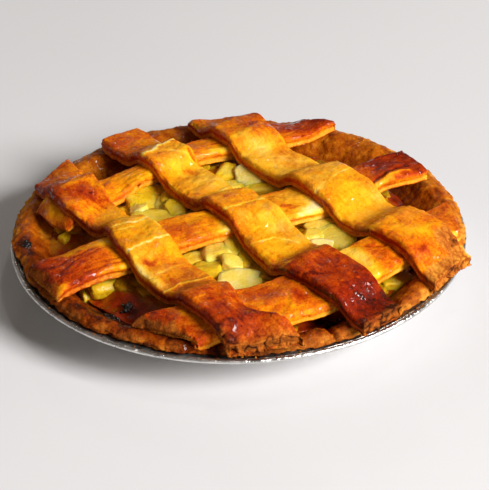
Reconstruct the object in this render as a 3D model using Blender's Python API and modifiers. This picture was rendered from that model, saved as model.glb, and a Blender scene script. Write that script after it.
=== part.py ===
"""A lattice apple pie in its foil tin, as baked: tin, pastry case, apple filling and six strips of pastry.

Units are metres, +Z is up, and the origin is the middle of the tin's underside, which stands on the table.
The three long strips run from the back left to the front right and lie on top of the three cross strips,
which run from the front left to the back right. Nothing is woven.
"""

import math

import bmesh
import bpy
import numpy as np
from mathutils import Vector, noise

MM = 0.001
ROUND_STEPS = 60                # flats round the tin, the case and the filling

# Foil tin
TIN_RADIUS = 122 * MM           # to the outside of the rolled edge
TIN_BASE_RADIUS = 84 * MM
TIN_WALL_TOP_RADIUS = 114.5 * MM
TIN_FLANGE_HEIGHT = 23.6 * MM   # upper face of the flange
FOIL = 0.5 * MM
FLANGE_RISE = 0.2 * MM          # from the wall out to the rolled edge
BEAD_RADIUS = 1.2 * MM          # rolled edge of the flange

# Pastry case
GAP = 0.3 * MM                  # kept between pieces that lie on each other
CASE_FLOOR = 4 * MM
CASE_WALL_FOOT = 5 * MM         # thickness of the wall at its foot
LIP_RADIUS = 117.5 * MM         # where the rim's outer face meets the flange
RIDGE_RADIUS = 112.5 * MM
RIDGE_HEIGHT = 29.4 * MM
CASE_MOUTH_RADIUS = 98 * MM     # where the rim's inner slope meets the filling
CASE_MOUTH_HEIGHT = 19.5 * MM
RIM_THICKNESS = 1.6 * MM        # of the rim's thin outer edge
SLOPE_BULGE = 0.62              # share of the climb made half way up the rim's inner slope
RIM_WANDER = 3 * MM             # how far the rim strays from a true ring
RIM_DIP = 2.8 * MM              # how far its ridge sinks in places
WANDERS_ROUND = 3.1             # rough number of bends and dips in half a turn
DIPS_ROUND = 4.3

# Apple filling
FILLING_CROWN = 34.6 * MM
CHUNK = 17 * MM                 # size of a piece of apple
CHUNK_RELIEF = 5 * MM
FILLING_RINGS = 14

# Lattice
CROSS_THICKNESS = 6.5 * MM
LONG_THICKNESS = 7 * MM
BED_CROWN = 35 * MM             # height of what the strips lie on, at the middle and at the rim
BED_RIM = 30 * MM
BED_RADIUS = 112 * MM
BED_FALL = 46                   # droop beyond the rim, in metres for each square metre
STEP_OVER = 7.3 * MM            # rise of a long strip where it passes over a cross strip
RAMP_OUT = 10 * MM              # the rise starts this far outside the cross strip's edge
RAMP_IN = 2 * MM                # and is complete this far inside it
SAG_ALLOWED = 0.1 * MM          # a strip gets a new section where a straight run would stray further
SECTION_SPACING = 9 * MM        # and never further apart than this

# Each strip in millimetres: points on its route, its width at them, how far its left side runs ahead of its
# right side where it is cut off, and how far the pastry curls up there. Cuts and curls give the start, then
# the end.
CROSS_STRIPS = {
    "lattice_cross_back": {
        "route": ((-102, 2), (-60, 36), (-22, 65), (16, 83), (44, 94)),
        "widths": (31, 17, 20, 27, 22),
        "cuts": (0, -18),
        "curls": (0, 1.5),
    },
    "lattice_cross_middle": {
        "route": ((-99, -58), (-56, -35), (-14, -16), (37, 7), (95, 46)),
        "widths": (29, 30, 25, 32, 26),
        "cuts": (0, 0),
        "curls": (0, 2),
    },
    "lattice_cross_front": {
        "route": ((-42, -107), (-14, -99), (32, -80), (72, -46), (109, -12)),
        "widths": (26, 29, 33, 28, 28),
        "cuts": (-36, 12),
        "curls": (0, 0),
    },
}
LONG_STRIPS = {
    "lattice_long_left": {
        "route": ((-103, 54), (-84, 11), (-61, -23), (-19, -83), (9, -117)),
        "widths": (26, 27, 28, 27, 35),
        "cuts": (-16, 18),
        "curls": (0, 0),
    },
    "lattice_long_middle": {
        "route": ((-67, 91), (-33, 42), (2, -9), (35, -58), (67, -96)),
        "widths": (25, 28, 28, 30, 27),
        "cuts": (0, 0),
        "curls": (0, 0),
    },
    "lattice_long_right": {
        "route": ((-11, 107), (14, 61), (52, 15), (82, -24), (109, -53)),
        "widths": (34, 30, 34, 32, 38),
        "cuts": (14, -8),
        "curls": (0, 0),
    },
}
ACROSS_AND_UP = (
    (-1, 0), (-1, 0.65), (-0.9, 0.97), (0, 1), (0.9, 0.97), (1, 0.65), (1, 0), (0.33, 0), (-0.33, 0),
)


# Blender helpers

def clear_scene():
    for obj in list(bpy.data.objects):
        bpy.data.objects.remove(obj, do_unlink=True)


def material(name, colour, roughness, metallic=0.0):
    result = bpy.data.materials.new(name)
    result.use_nodes = True
    shader = result.node_tree.nodes["Principled BSDF"]
    shader.inputs["Base Color"].default_value = (*colour, 1)
    shader.inputs["Roughness"].default_value = roughness
    shader.inputs["Metallic"].default_value = metallic
    result.diffuse_color = (*colour, 1)
    return result


def add_object(name, mesh, finish):
    mesh.materials.append(finish)
    obj = bpy.data.objects.new(name, mesh)
    PIE.objects.link(obj)
    return obj


def turned(name, outline, steps, finish):
    """Turns an outline of (radius, height) once about the Z axis. It starts and ends on the axis."""
    mesh = bpy.data.meshes.new(name)
    points = [(radius, 0, height) for radius, height in outline]
    edges = [(i, i + 1) for i in range(len(points) - 1)]
    mesh.from_pydata(points, edges, [])
    obj = add_object(name, mesh, finish)
    screw = obj.modifiers.new("Turn", "SCREW")
    screw.steps = steps
    screw.render_steps = steps
    screw.use_merge_vertices = True
    screw.merge_threshold = 0.01 * MM
    screw.use_smooth_shade = True
    return obj


def apply_modifiers(obj):
    evaluated = obj.evaluated_get(bpy.context.evaluated_depsgraph_get())
    baked = bpy.data.meshes.new_from_object(evaluated)
    obj.modifiers.clear()
    obj.data = baked


def smooth_step(value):
    value = np.clip(value, 0, 1)
    return value * value * (3 - 2 * value)


def arc(centre, radius, start, end, count):
    """Points on an arc in the (radius, height) plane, angles in degrees."""
    angles = np.radians(np.linspace(start, end, count))
    return [(centre[0] + radius * math.cos(a), centre[1] + radius * math.sin(a)) for a in angles]


# Foil tin

def tin_wall_radius(height):
    """Outer radius of the sloping wall at a height."""
    return np.interp(height, (0, TIN_FLANGE_HEIGHT), (TIN_BASE_RADIUS, TIN_WALL_TOP_RADIUS))


def make_tin():
    foil = material("aluminium foil", (0.72, 0.72, 0.71), 0.3, metallic=1)
    flange_end = TIN_RADIUS - 2 * BEAD_RADIUS
    bead_centre = (TIN_RADIUS - BEAD_RADIUS, TIN_FLANGE_HEIGHT)
    outline = [
        (0, FOIL),
        (TIN_BASE_RADIUS - FOIL, FOIL),
        (TIN_WALL_TOP_RADIUS - FOIL, TIN_FLANGE_HEIGHT),
        (flange_end, TIN_FLANGE_HEIGHT + FLANGE_RISE),
        *arc(bead_centre, BEAD_RADIUS, 135, -135, 6),
        (flange_end, TIN_FLANGE_HEIGHT - FOIL),
        (TIN_WALL_TOP_RADIUS, TIN_FLANGE_HEIGHT - FOIL),
        (TIN_BASE_RADIUS, 0),
        (0, 0),
    ]
    turned("foil_tin", outline, ROUND_STEPS, foil)


# Pastry case

def make_case():
    """The cup of pastry that lines the tin, with a hand-shaped rim that lies out over the flange."""
    crust = material("baked crust", (0.42, 0.17, 0.05), 0.5)
    foot = tin_wall_radius(CASE_FLOOR) - CASE_WALL_FOOT
    flange = TIN_FLANGE_HEIGHT + FLANGE_RISE + GAP
    slope = (CASE_MOUTH_RADIUS + RIDGE_RADIUS) / 2
    outline = [
        (0, CASE_FLOOR),
        (foot, CASE_FLOOR),
        (CASE_MOUTH_RADIUS, CASE_MOUTH_HEIGHT),
        (slope, CASE_MOUTH_HEIGHT + SLOPE_BULGE * (RIDGE_HEIGHT - CASE_MOUTH_HEIGHT)),
        (RIDGE_RADIUS - 2 * RIM_THICKNESS, RIDGE_HEIGHT - 0.4 * RIM_THICKNESS),
        (RIDGE_RADIUS, RIDGE_HEIGHT),
        (RIDGE_RADIUS + 1.7 * RIM_THICKNESS, RIDGE_HEIGHT - 0.7 * RIM_THICKNESS),
        (LIP_RADIUS, flange + RIM_THICKNESS),
        (LIP_RADIUS - 0.5 * MM, flange),
        (TIN_WALL_TOP_RADIUS - 2 * GAP - FOIL, flange),
        (TIN_BASE_RADIUS - 2 * GAP - FOIL, FOIL + GAP),
        (0, FOIL + GAP),
    ]
    case = turned("pastry_case", outline, ROUND_STEPS, crust)
    apply_modifiers(case)
    for vertex in case.data.vertices:
        x, y, z = vertex.co
        radius = math.hypot(x, y)
        share = min(1, (z - flange) / (RIDGE_HEIGHT - flange))
        if radius < slope - MM or share < 0.01:
            continue
        around = Vector((x, y, 0)) / radius
        wander = noise.noise(around * WANDERS_ROUND) * RIM_WANDER
        dip = abs(noise.noise(around * DIPS_ROUND + Vector((0, 0, 5)))) * RIM_DIP
        vertex.co += around * wander * share
        vertex.co.z -= dip * share


# Apple filling

def bed_height(x, y):
    """Height of the bed that the strips lie on: domed over the filling, falling away beyond the rim."""
    radius = np.hypot(x, y)
    inside = np.clip(radius / BED_RADIUS, 0, 1)
    outside = np.clip(radius - BED_RADIUS, 0, None)
    return BED_RIM + (BED_CROWN - BED_RIM) * (1 - inside**2) - BED_FALL * outside**2


def filling_height(x, y):
    """Top of the heaped apple, which sinks away from the lattice towards the rim."""
    share = math.hypot(x, y) / CASE_MOUTH_RADIUS
    dome = FILLING_CROWN - (FILLING_CROWN - CASE_MOUTH_HEIGHT) * share**4
    lumps = noise.noise(Vector((x, y, 0)) / CHUNK) * CHUNK_RELIEF * (1 - share**8)
    return min(dome + lumps, float(bed_height(x, y)) - GAP)


def make_filling():
    """One solid out to the heap's uneven top, filling the case."""
    apple = material("stewed apple", (0.62, 0.52, 0.16), 0.35)
    foot = tin_wall_radius(CASE_FLOOR) - CASE_WALL_FOOT - 2 * GAP
    floor = CASE_FLOOR + GAP
    mouth = CASE_MOUTH_RADIUS - 2 * GAP
    rings = [mouth * (i / FILLING_RINGS) ** 0.8 for i in range(FILLING_RINGS + 1)]
    outline = [(radius, CASE_MOUTH_HEIGHT) for radius in rings] + [(foot, floor), (0, floor)]
    filling = turned("apple_filling", outline, ROUND_STEPS, apple)
    apply_modifiers(filling)
    for vertex in filling.data.vertices:
        x, y, z = vertex.co
        if z > floor + MM:
            vertex.co.z = filling_height(x, y) - GAP


# Lattice

def curve_through(points, count):
    """Evenly spaced points on a smooth curve through some points (Catmull-Rom), in any dimension."""
    points = np.array(points, float)
    before = 2 * points[0] - points[1]
    after = 2 * points[-1] - points[-2]
    knots = np.vstack((before, points, after))
    result = []
    for t in np.linspace(0, len(points) - 1, count):
        i = min(int(t), len(points) - 2)
        u = t - i
        a, b, c, d = knots[i:i + 4]
        result.append(
            b + 0.5 * u * (c - a + u * (2 * a - 5 * b + 4 * c - d + u * (3 * (b - c) + d - a)))
        )
    return np.array(result)


def plan_of(strip):
    """A strip's route, widths and sideways directions, a point for each millimetre or so, in metres."""
    route = curve_through(strip["route"], 240) * MM
    widths = curve_through([(w,) for w in strip["widths"]], 240)[:, 0] * MM
    along = np.gradient(route, axis=0)
    along /= np.linalg.norm(along, axis=1)[:, None]
    left = np.column_stack((-along[:, 1], along[:, 0]))
    return route, widths, along, left


def end_effect(values, count):
    """A value at each end of a strip, fading to nothing an eighth of the way along, in metres."""
    share = np.linspace(0, 1, count)
    near_start = np.clip(1 - share * 8, 0, 1)
    near_end = np.clip(1 - (1 - share) * 8, 0, 1)
    return (values[0] * near_start + values[1] * near_end) * MM


def long_bed(x, y):
    """The bed, with a smooth step over each cross strip."""
    points = np.column_stack((np.ravel(x), np.ravel(y)))
    rise = np.zeros(len(points))
    for route, widths, _, _ in CROSS_PLANS:
        gaps = np.linalg.norm(points[:, None] - route[None], axis=2)
        nearest = gaps.argmin(axis=1)
        distance = gaps[np.arange(len(points)), nearest]
        reach = widths[nearest] / 2 + RAMP_OUT
        rise = np.maximum(rise, STEP_OVER * smooth_step((reach - distance) / (RAMP_OUT + RAMP_IN)))
    return bed_height(x, y) + rise.reshape(np.shape(x))


def section_places(lines, bed):
    """Indices along a strip where sections go, closer together where the bed bends under any of its lines."""
    heights = [bed(line[:, 0], line[:, 1]) for line in lines]
    middle = np.column_stack((lines[1], heights[1]))
    walked = np.concatenate(([0], np.cumsum(np.linalg.norm(np.diff(middle, axis=0), axis=1))))
    finish = len(walked) - 1
    places = [0]
    while places[-1] < finish:
        first = places[-1]
        last = first + 1
        while last < finish and walked[last + 1] - walked[first] < SECTION_SPACING:
            span = slice(first, last + 2)
            ends = [first, last + 1]
            strays = [np.abs(np.interp(walked[span], walked[ends], h[ends]) - h[span]).max() for h in heights]
            if max(strays) > SAG_ALLOWED:
                break
            last += 1
        places.append(last)
    return places


def make_strip(name, strip, bed, thickness, finish):
    """A slab of rolled pastry, draped on its bed, with rounded upper edges and cut ends."""
    route, widths, along, left = plan_of(strip)
    lean = end_effect(strip["cuts"], len(route)) / 2
    curl = end_effect(strip["curls"], len(route))
    lines = [route + left * (side * widths / 2)[:, None] for side in (-1, 0, 1)]
    built = bmesh.new()
    rings = []
    for i in section_places(lines, bed):
        ring = []
        for across, up in ACROSS_AND_UP:
            x, y = route[i] + left[i] * across * widths[i] / 2 + along[i] * across * lean[i]
            ring.append(built.verts.new((x, y, float(bed(x, y)) + curl[i] + up * thickness)))
        rings.append(ring)
    count = len(ACROSS_AND_UP)
    for ring, following in zip(rings, rings[1:]):
        for k in range(count):
            after = (k + 1) % count
            built.faces.new((ring[k], ring[after], following[after], following[k]))
    built.faces.new(rings[0])
    built.faces.new(list(reversed(rings[-1])))
    bmesh.ops.recalc_face_normals(built, faces=built.faces)
    mesh = bpy.data.meshes.new(name)
    built.to_mesh(mesh)
    built.free()
    add_object(name, mesh, finish)


def make_lattice():
    glazed = material("glazed pastry", (0.62, 0.28, 0.05), 0.35)
    for name, strip in CROSS_STRIPS.items():
        make_strip(name, strip, bed_height, CROSS_THICKNESS, glazed)
    for name, strip in LONG_STRIPS.items():
        make_strip(name, strip, long_bed, LONG_THICKNESS, glazed)


clear_scene()
PIE = bpy.data.collections.new("lattice apple pie")
bpy.context.scene.collection.children.link(PIE)
CROSS_PLANS = [plan_of(strip) for strip in CROSS_STRIPS.values()]
make_tin()
make_case()
make_filling()
make_lattice()
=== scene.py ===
"""A lattice apple pie in its foil tin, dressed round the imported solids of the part.

Units are metres, +Z is up, and the origin is the middle of the tin's underside. The sections follow the pie
as it is put together: table, tin, pastry case, apple filling, lattice, crumbs.
"""
import math

import bmesh
import bpy
import numpy as np
from mathutils import Matrix, Vector
from mathutils.bvhtree import BVHTree


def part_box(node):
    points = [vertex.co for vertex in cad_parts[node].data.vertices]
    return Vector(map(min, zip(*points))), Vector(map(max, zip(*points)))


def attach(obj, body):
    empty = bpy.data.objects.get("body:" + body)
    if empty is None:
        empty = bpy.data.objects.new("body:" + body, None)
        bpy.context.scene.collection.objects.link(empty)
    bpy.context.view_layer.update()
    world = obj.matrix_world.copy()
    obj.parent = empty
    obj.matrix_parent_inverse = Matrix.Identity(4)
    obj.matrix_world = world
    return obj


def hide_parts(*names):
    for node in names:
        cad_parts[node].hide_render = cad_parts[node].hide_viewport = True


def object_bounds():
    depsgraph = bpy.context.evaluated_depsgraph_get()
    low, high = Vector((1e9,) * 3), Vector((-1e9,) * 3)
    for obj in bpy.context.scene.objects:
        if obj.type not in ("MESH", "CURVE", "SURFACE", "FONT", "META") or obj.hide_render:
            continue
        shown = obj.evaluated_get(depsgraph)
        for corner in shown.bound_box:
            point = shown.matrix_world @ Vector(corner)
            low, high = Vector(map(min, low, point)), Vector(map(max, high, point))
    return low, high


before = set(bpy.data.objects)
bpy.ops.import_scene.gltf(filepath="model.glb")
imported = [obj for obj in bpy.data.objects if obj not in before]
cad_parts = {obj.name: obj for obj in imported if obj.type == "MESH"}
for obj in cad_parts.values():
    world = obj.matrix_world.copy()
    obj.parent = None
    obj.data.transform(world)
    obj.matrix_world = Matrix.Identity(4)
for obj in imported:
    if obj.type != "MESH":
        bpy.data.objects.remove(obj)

cad_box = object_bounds()
scene = bpy.context.scene
scene.view_settings.view_transform = "Standard"
MM = 0.001


# Table, light and camera
# A plain pale table top, one large soft lamp low on the right, and a pale room that fills the shadows. Two
# small lamps, behind and above, give the wet egg glaze its glints. The camera looks down on the pie from the
# front with a long lens.

TABLE_TOP = "#E2E2E4"
ROOM = "#F6E7D6"
LAMP = "#FFFDFB"
ROOM_LIGHT = 0.16
LAMP_POWER = 164
LAMP_SIDE = 1.25
LAMP_FROM = (0.70, -0.50, 0.50)
LAMP_DISTANCE = 3.0
REAR_LAMP_POWER = 2.2
REAR_LAMP_SIDE = 0.16
REAR_LAMP_FROM = (-0.15, 1.0, 0.55)
TOP_LAMP_POWER = 4.5
TOP_LAMP_SIDE = 0.18
TOP_LAMP_FROM = (0.25, 0.1, 1.0)
CAMERA_AIM = (0.0031, -0.0131, 0.024)
CAMERA_DISTANCE = 1.1683
CAMERA_HEIGHT_ANGLE = 31.7233   # degrees above the table
CAMERA_ROLL = -1.4835           # degrees
CAMERA_LENS = 161.6             # mm


def linear(hex_colour):
    """An sRGB hex colour as linear RGBA."""
    parts = [int(hex_colour[i:i + 2], 16) / 255 for i in (1, 3, 5)]
    return (*[p / 12.92 if p <= 0.04045 else ((p + 0.055) / 1.055) ** 2.4 for p in parts], 1)


def feed(tree, node, inputs):
    """Gives a node its inputs: each is a value, or the socket that feeds it."""
    for name, value in inputs.items():
        if isinstance(value, bpy.types.NodeSocket):
            tree.links.new(value, node.inputs[name])
        else:
            node.inputs[name].default_value = value


def add(tree, kind, inputs=None, stops=(), **settings):
    """Adds a node with its settings and inputs; stops are a colour ramp's."""
    node = tree.nodes.new(kind)
    for name, value in settings.items():
        setattr(node, name, value)
    feed(tree, node, inputs or {})
    for i, (place, colour) in enumerate(stops):
        stop = node.color_ramp.elements[i] if i < 2 else node.color_ramp.elements.new(place)
        stop.position, stop.color = place, colour
    return node


def new_finish(name):
    """An empty material, its node tree, and its Principled shader."""
    finish = bpy.data.materials.new(name)
    finish.use_nodes = True
    return finish, finish.node_tree, finish.node_tree.nodes["Principled BSDF"]


def build(name, points, faces, finish, smooth=True):
    """A mesh object from arrays of points and faces."""
    mesh = bpy.data.meshes.new(name)
    mesh.from_pydata(np.asarray(points).tolist(), [], [list(map(int, face)) for face in faces])
    mesh.materials.append(finish)
    if smooth:
        mesh.shade_smooth()
    obj = bpy.data.objects.new(name, mesh)
    scene.collection.objects.link(obj)
    return obj


# Painted board, flat matt, with only the faintest cloudiness.
board, tree, shader = new_finish("matt painted board")
place = add(tree, "ShaderNodeTexCoord")
cloud = add(tree, "ShaderNodeTexNoise", {"Vector": place.outputs["Object"], "Scale": 3, "Detail": 2})
tone = add(tree, "ShaderNodeValToRGB", {0: cloud.outputs[0]},
           stops=((0.3, linear("#DDDDE0")), (0.7, linear(TABLE_TOP))))
feed(tree, shader, {"Base Color": tone.outputs[0], "Roughness": 0.7})

TABLE_REACH = 3
corners = [(x * TABLE_REACH, y * TABLE_REACH, 0) for x, y in ((-1, -1), (1, -1), (1, 1), (-1, 1))]
table = build("table_top", corners, [(0, 1, 2, 3)], board, smooth=False)

world = bpy.data.worlds.new("pale room")
world.use_nodes = True
feed(world.node_tree, world.node_tree.nodes["Background"], {"Color": linear(ROOM), "Strength": ROOM_LIGHT})
scene.world = world

for name, side, power, origin in (("soft lamp", LAMP_SIDE, LAMP_POWER, LAMP_FROM),
                                  ("small lamp behind", REAR_LAMP_SIDE, REAR_LAMP_POWER, REAR_LAMP_FROM),
                                  ("small lamp above", TOP_LAMP_SIDE, TOP_LAMP_POWER, TOP_LAMP_FROM)):
    lamp = bpy.data.lights.new(name, "AREA")
    lamp.shape, lamp.size, lamp.energy, lamp.color = "SQUARE", side, power, linear(LAMP)[:3]
    stand = bpy.data.objects.new(name, lamp)
    stand.location = Vector(origin).normalized() * LAMP_DISTANCE
    stand.rotation_euler = stand.location.to_track_quat("Z", "Y").to_euler()
    scene.collection.objects.link(stand)

lens = bpy.data.cameras.new("camera")
lens.lens, lens.clip_start = CAMERA_LENS, 0.01
camera = bpy.data.objects.new("camera", lens)
height_angle = math.radians(CAMERA_HEIGHT_ANGLE)
back = Vector((0, -math.cos(height_angle), math.sin(height_angle)))
tilt_down = Matrix.Rotation(math.radians(90 - CAMERA_HEIGHT_ANGLE), 4, "X")
roll = Matrix.Rotation(math.radians(CAMERA_ROLL), 4, "Z")
camera.matrix_world = Matrix.Translation(Vector(CAMERA_AIM) + back * CAMERA_DISTANCE) @ tilt_down @ roll
scene.collection.objects.link(camera)
scene.camera = camera


# Foil tin
# A round dish pressed from thin household foil: a flat base, a fluted wall that leans out, and a flange with
# a raised ring and an edge rolled under by the press. It holds everything else.

TIN_STEPS = 900                 # points round
WALL_ROWS = 14
TIN_FLUTES = 90
FLUTE_DEPTH = 0.7 * MM
FOIL = 0.5 * MM
BASE_RADIUS = 84 * MM
WALL_TOP_RADIUS = 114.5 * MM
BEAD_RADIUS = 1.2 * MM
RING_RADIUS = 118.3 * MM
RING_RISE = 0.45 * MM
MIDDLE_HOLE = 2 * MM            # a flat cap closes each round piece inside this radius


def wander(points, size, seed=0):
    """Smooth noise from -1 to 1 that turns over about every `size` metres."""
    cell = np.asarray(points) / size + seed * 11.7
    corner = np.floor(cell).astype(np.int64)
    part = cell - corner
    part = part * part * (3 - 2 * part)
    total = np.zeros(len(cell))
    for k in range(8):
        step = np.array([k & 1, k >> 1 & 1, k >> 2 & 1])
        key = (corner + step) @ np.array([73856093, 19349663, 83492791])
        key = (key ^ key >> 15) * 2246822519 & 0xFFFFFFFF
        key = (key ^ key >> 13) * 3266489917 & 0xFFFFFFFF
        value = ((key ^ key >> 16) & 0xFFFF) / 32767.5 - 1
        total += value * np.prod(np.where(step == 1, part, 1 - part), axis=1)
    return total


def smooth_step(value):
    """Eases from 0 to 1 as the value goes from 0 to 1."""
    value = np.clip(value, 0, 1)
    return value * value * (3 - 2 * value)


def arc(centre, radius, start, end, count):
    """Points (radius, height) on an arc, angles in degrees."""
    angles = np.radians(np.linspace(start, end, count))
    return [(centre[0] + radius * math.cos(a), centre[1] + radius * math.sin(a)) for a in angles]


def ring_faces(rows, columns):
    """Faces of a round piece: quads between rings of points that run from its top middle outwards and back
    underneath, and a flat cap in the middle of its top and of its underside."""
    start = np.arange(rows - 1)[:, None] * columns
    here = np.arange(columns)[None]
    after = (here + 1) % columns
    corners = (start + columns + here, start + columns + after, start + after, start + here)
    quads = [tuple(face) for face in np.stack(corners, -1).reshape(-1, 4)]
    return quads + [tuple(range(columns)), tuple(range((rows - 1) * columns, rows * columns))[::-1]]


def set_layer(mesh, name, values):
    """Keeps a number, or three, for each point of a mesh."""
    flat = np.asarray(values, np.float32)
    layer = mesh.attributes.new(name, "FLOAT" if flat.ndim == 1 else "FLOAT_VECTOR", "POINT")
    layer.data.foreach_set("value" if flat.ndim == 1 else "vector", flat.ravel())


def foil_finish():
    """Rolled aluminium foil: bright, a little milky, creased by the press.

    Creases lie about 2 mm apart and the milkiness changes over about 11 mm."""
    finish, tree, shader = new_finish("rolled aluminium foil")
    place = add(tree, "ShaderNodeTexCoord")
    crease = add(tree, "ShaderNodeTexNoise", {"Vector": place.outputs["Object"], "Scale": 520, "Detail": 3})
    soft = add(tree, "ShaderNodeTexNoise", {"Vector": place.outputs["Object"], "Scale": 90, "Detail": 2})
    bump = add(tree, "ShaderNodeBump", {"Height": crease.outputs[0], "Distance": 0.8 * MM, "Strength": 1.0})
    tone = add(tree, "ShaderNodeValToRGB", {0: soft.outputs[0]},
               stops=((0.3, linear("#C6C4C1")), (0.7, linear("#EAE8E4"))))
    # Baked-on fat and juice, and painted shade beside the rim, darken the foil.
    baked_on_and_shade = add(tree, "ShaderNodeAttribute", attribute_name="grime_and_shade").outputs["Fac"]
    tone = add(tree, "ShaderNodeMix", {0: baked_on_and_shade, 6: tone.outputs[0], 7: linear("#2A1B10")},
               data_type="RGBA")
    rough = add(tree, "ShaderNodeMapRange", {0: soft.outputs[0], 1: 0.3, 2: 0.7, 3: 0.22, 4: 0.42})
    rough = add(tree, "ShaderNodeMath", {0: baked_on_and_shade, 1: 0.3, 2: rough.outputs[0]}, operation="MULTIPLY_ADD")
    feed(tree, shader, {"Base Color": tone.outputs[2], "Roughness": rough.outputs[0],
                        "Normal": bump.outputs[0], "Metallic": 1})
    return finish


low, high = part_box("foil_tin")
tin_reach = max(high.x, high.y)
flange_height = high.z - BEAD_RADIUS
bead = (tin_reach - BEAD_RADIUS, flange_height)
inner_wall = [(BASE_RADIUS - FOIL + (WALL_TOP_RADIUS - BASE_RADIUS) * s, FOIL + (flange_height - FOIL) * s)
              for s in np.linspace(0, 1, WALL_ROWS)]
outer_wall = [(r + FOIL, max(0, z - FOIL)) for r, z in inner_wall[::-1]]
profile = np.array(
    [(MIDDLE_HOLE, FOIL), (40 * MM, FOIL), (BASE_RADIUS - 3 * MM, FOIL)] + inner_wall
    + [(WALL_TOP_RADIUS + 1.5 * MM, flange_height + 0.05 * MM)]
    + arc((RING_RADIUS, flange_height - 0.1 * MM), RING_RISE, 170, 10, 6)
    + arc(bead, BEAD_RADIUS, 165, -165, 18)
    + [(RING_RADIUS, flange_height - FOIL), (WALL_TOP_RADIUS + FOIL, flange_height - FOIL)]
    + outer_wall + [(BASE_RADIUS - 3 * MM, 0), (40 * MM, 0), (MIDDLE_HOLE, 0)])
angles = np.linspace(0, 2 * math.pi, TIN_STEPS, endpoint=False)
radius = np.repeat(profile[:, :1], TIN_STEPS, 1)
height = np.repeat(profile[:, 1:], TIN_STEPS, 1)
on_wall = smooth_step((height - 1.5 * MM) / (4 * MM))
on_wall *= smooth_step((WALL_TOP_RADIUS - radius) / (2.5 * MM) + 0.2)
radius = radius - on_wall * FLUTE_DEPTH * (0.5 + 0.5 * np.cos(angles * TIN_FLUTES))[None]

# The flange sways a little, and the rolled edge is crimped and nicked where the press and fingers caught it.
on_flange = smooth_step((radius - WALL_TOP_RADIUS) / (4 * MM))
round_rim = np.column_stack((np.cos(angles), np.sin(angles), np.zeros(TIN_STEPS))) * tin_reach
sway = wander(round_rim, 45 * MM, 1)
crimp = wander(round_rim, 2.6 * MM, 2)
nick = np.clip(wander(round_rim, 5 * MM, 3) - 0.35, 0, 1)
height = height + on_flange * (0.35 * sway - 0.35)[None] * MM
on_bead = smooth_step((radius - tin_reach + 2.6 * MM) / (0.6 * MM))
radius = radius - on_bead * ((0.2 + 0.22 * crimp) + 0.6 * nick)[None] * MM
height = height - on_bead * (0.24 * crimp + 0.5 * nick)[None] * MM
points = np.stack((radius * np.cos(angles), radius * np.sin(angles), height), -1).reshape(-1, 3)
foil_dish = build("foil_dish", points, ring_faces(len(profile), TIN_STEPS), foil_finish())

# Fat and juice baked on to the flange beside the pastry, with painted shade beside the rim as well; least at
# the front right, which is clean and faces the lamp.
reach = np.hypot(points[:, 0], points[:, 1])
bearing = np.degrees(np.arctan2(points[:, 1], points[:, 0]))
clean_and_lit = np.exp(-((bearing + 42) / 24) ** 2)
grime_and_shade = smooth_step((WALL_TOP_RADIUS + 5.2 * MM - 1.6 * MM * clean_and_lit - reach) / (1.3 * MM))
grime_and_shade *= smooth_step((reach - WALL_TOP_RADIUS + 3 * MM) / MM) * (points[:, 2] > flange_height - 0.9 * MM)
patchy = 0.3 * wander(points, 5 * MM, 12) + 0.2 * wander(points, 2 * MM, 13)
grime_and_shade *= np.clip(0.75 - 0.75 * clean_and_lit + patchy, 0, 1)
set_layer(foil_dish.data, "grime_and_shade", grime_and_shade)
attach(foil_dish, "root")
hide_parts("foil_tin")


# Pastry case
# Shortcrust rolled out, laid in the tin and pressed over its flange by hand, then brushed with egg. The oven
# has browned its rim, burnt it where juice boiled over, and left the torn front edge crumbly.

CASE_STEPS = 1000               # points round
CASE_ROWS = 44
SEEN_FROM = 90 * MM             # the rim's inner slope shows outside this radius
CASE_WALL = 1.6 * MM            # the case stands in from the tin's wall by this much
CASE_WALL_FOOT = 5 * MM
CASE_FLOOR = 4 * MM
COVERED_EDGE = 120.9 * MM       # round the back the rim lies right over the tin's edge
LAY_RADIUS = 110 * MM           # brush streaks on the rim are measured along this circle
STRETCH_FROM = 106 * MM         # only the rim outside this radius is stretched out to that edge
RIM_EDGE = 0.9 * MM             # radius of the rim's rounded outer edge

# How the oven browned the rim, from barely baked to burnt.
RIM_TONES = ((0.0, "#EDBE62"), (0.3, "#D98A22"), (0.5, "#B5600C"), (0.64, "#9A4606"), (0.78, "#7A2E04"),
             (0.9, "#481805"), (1.0, "#180B08"))


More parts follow.
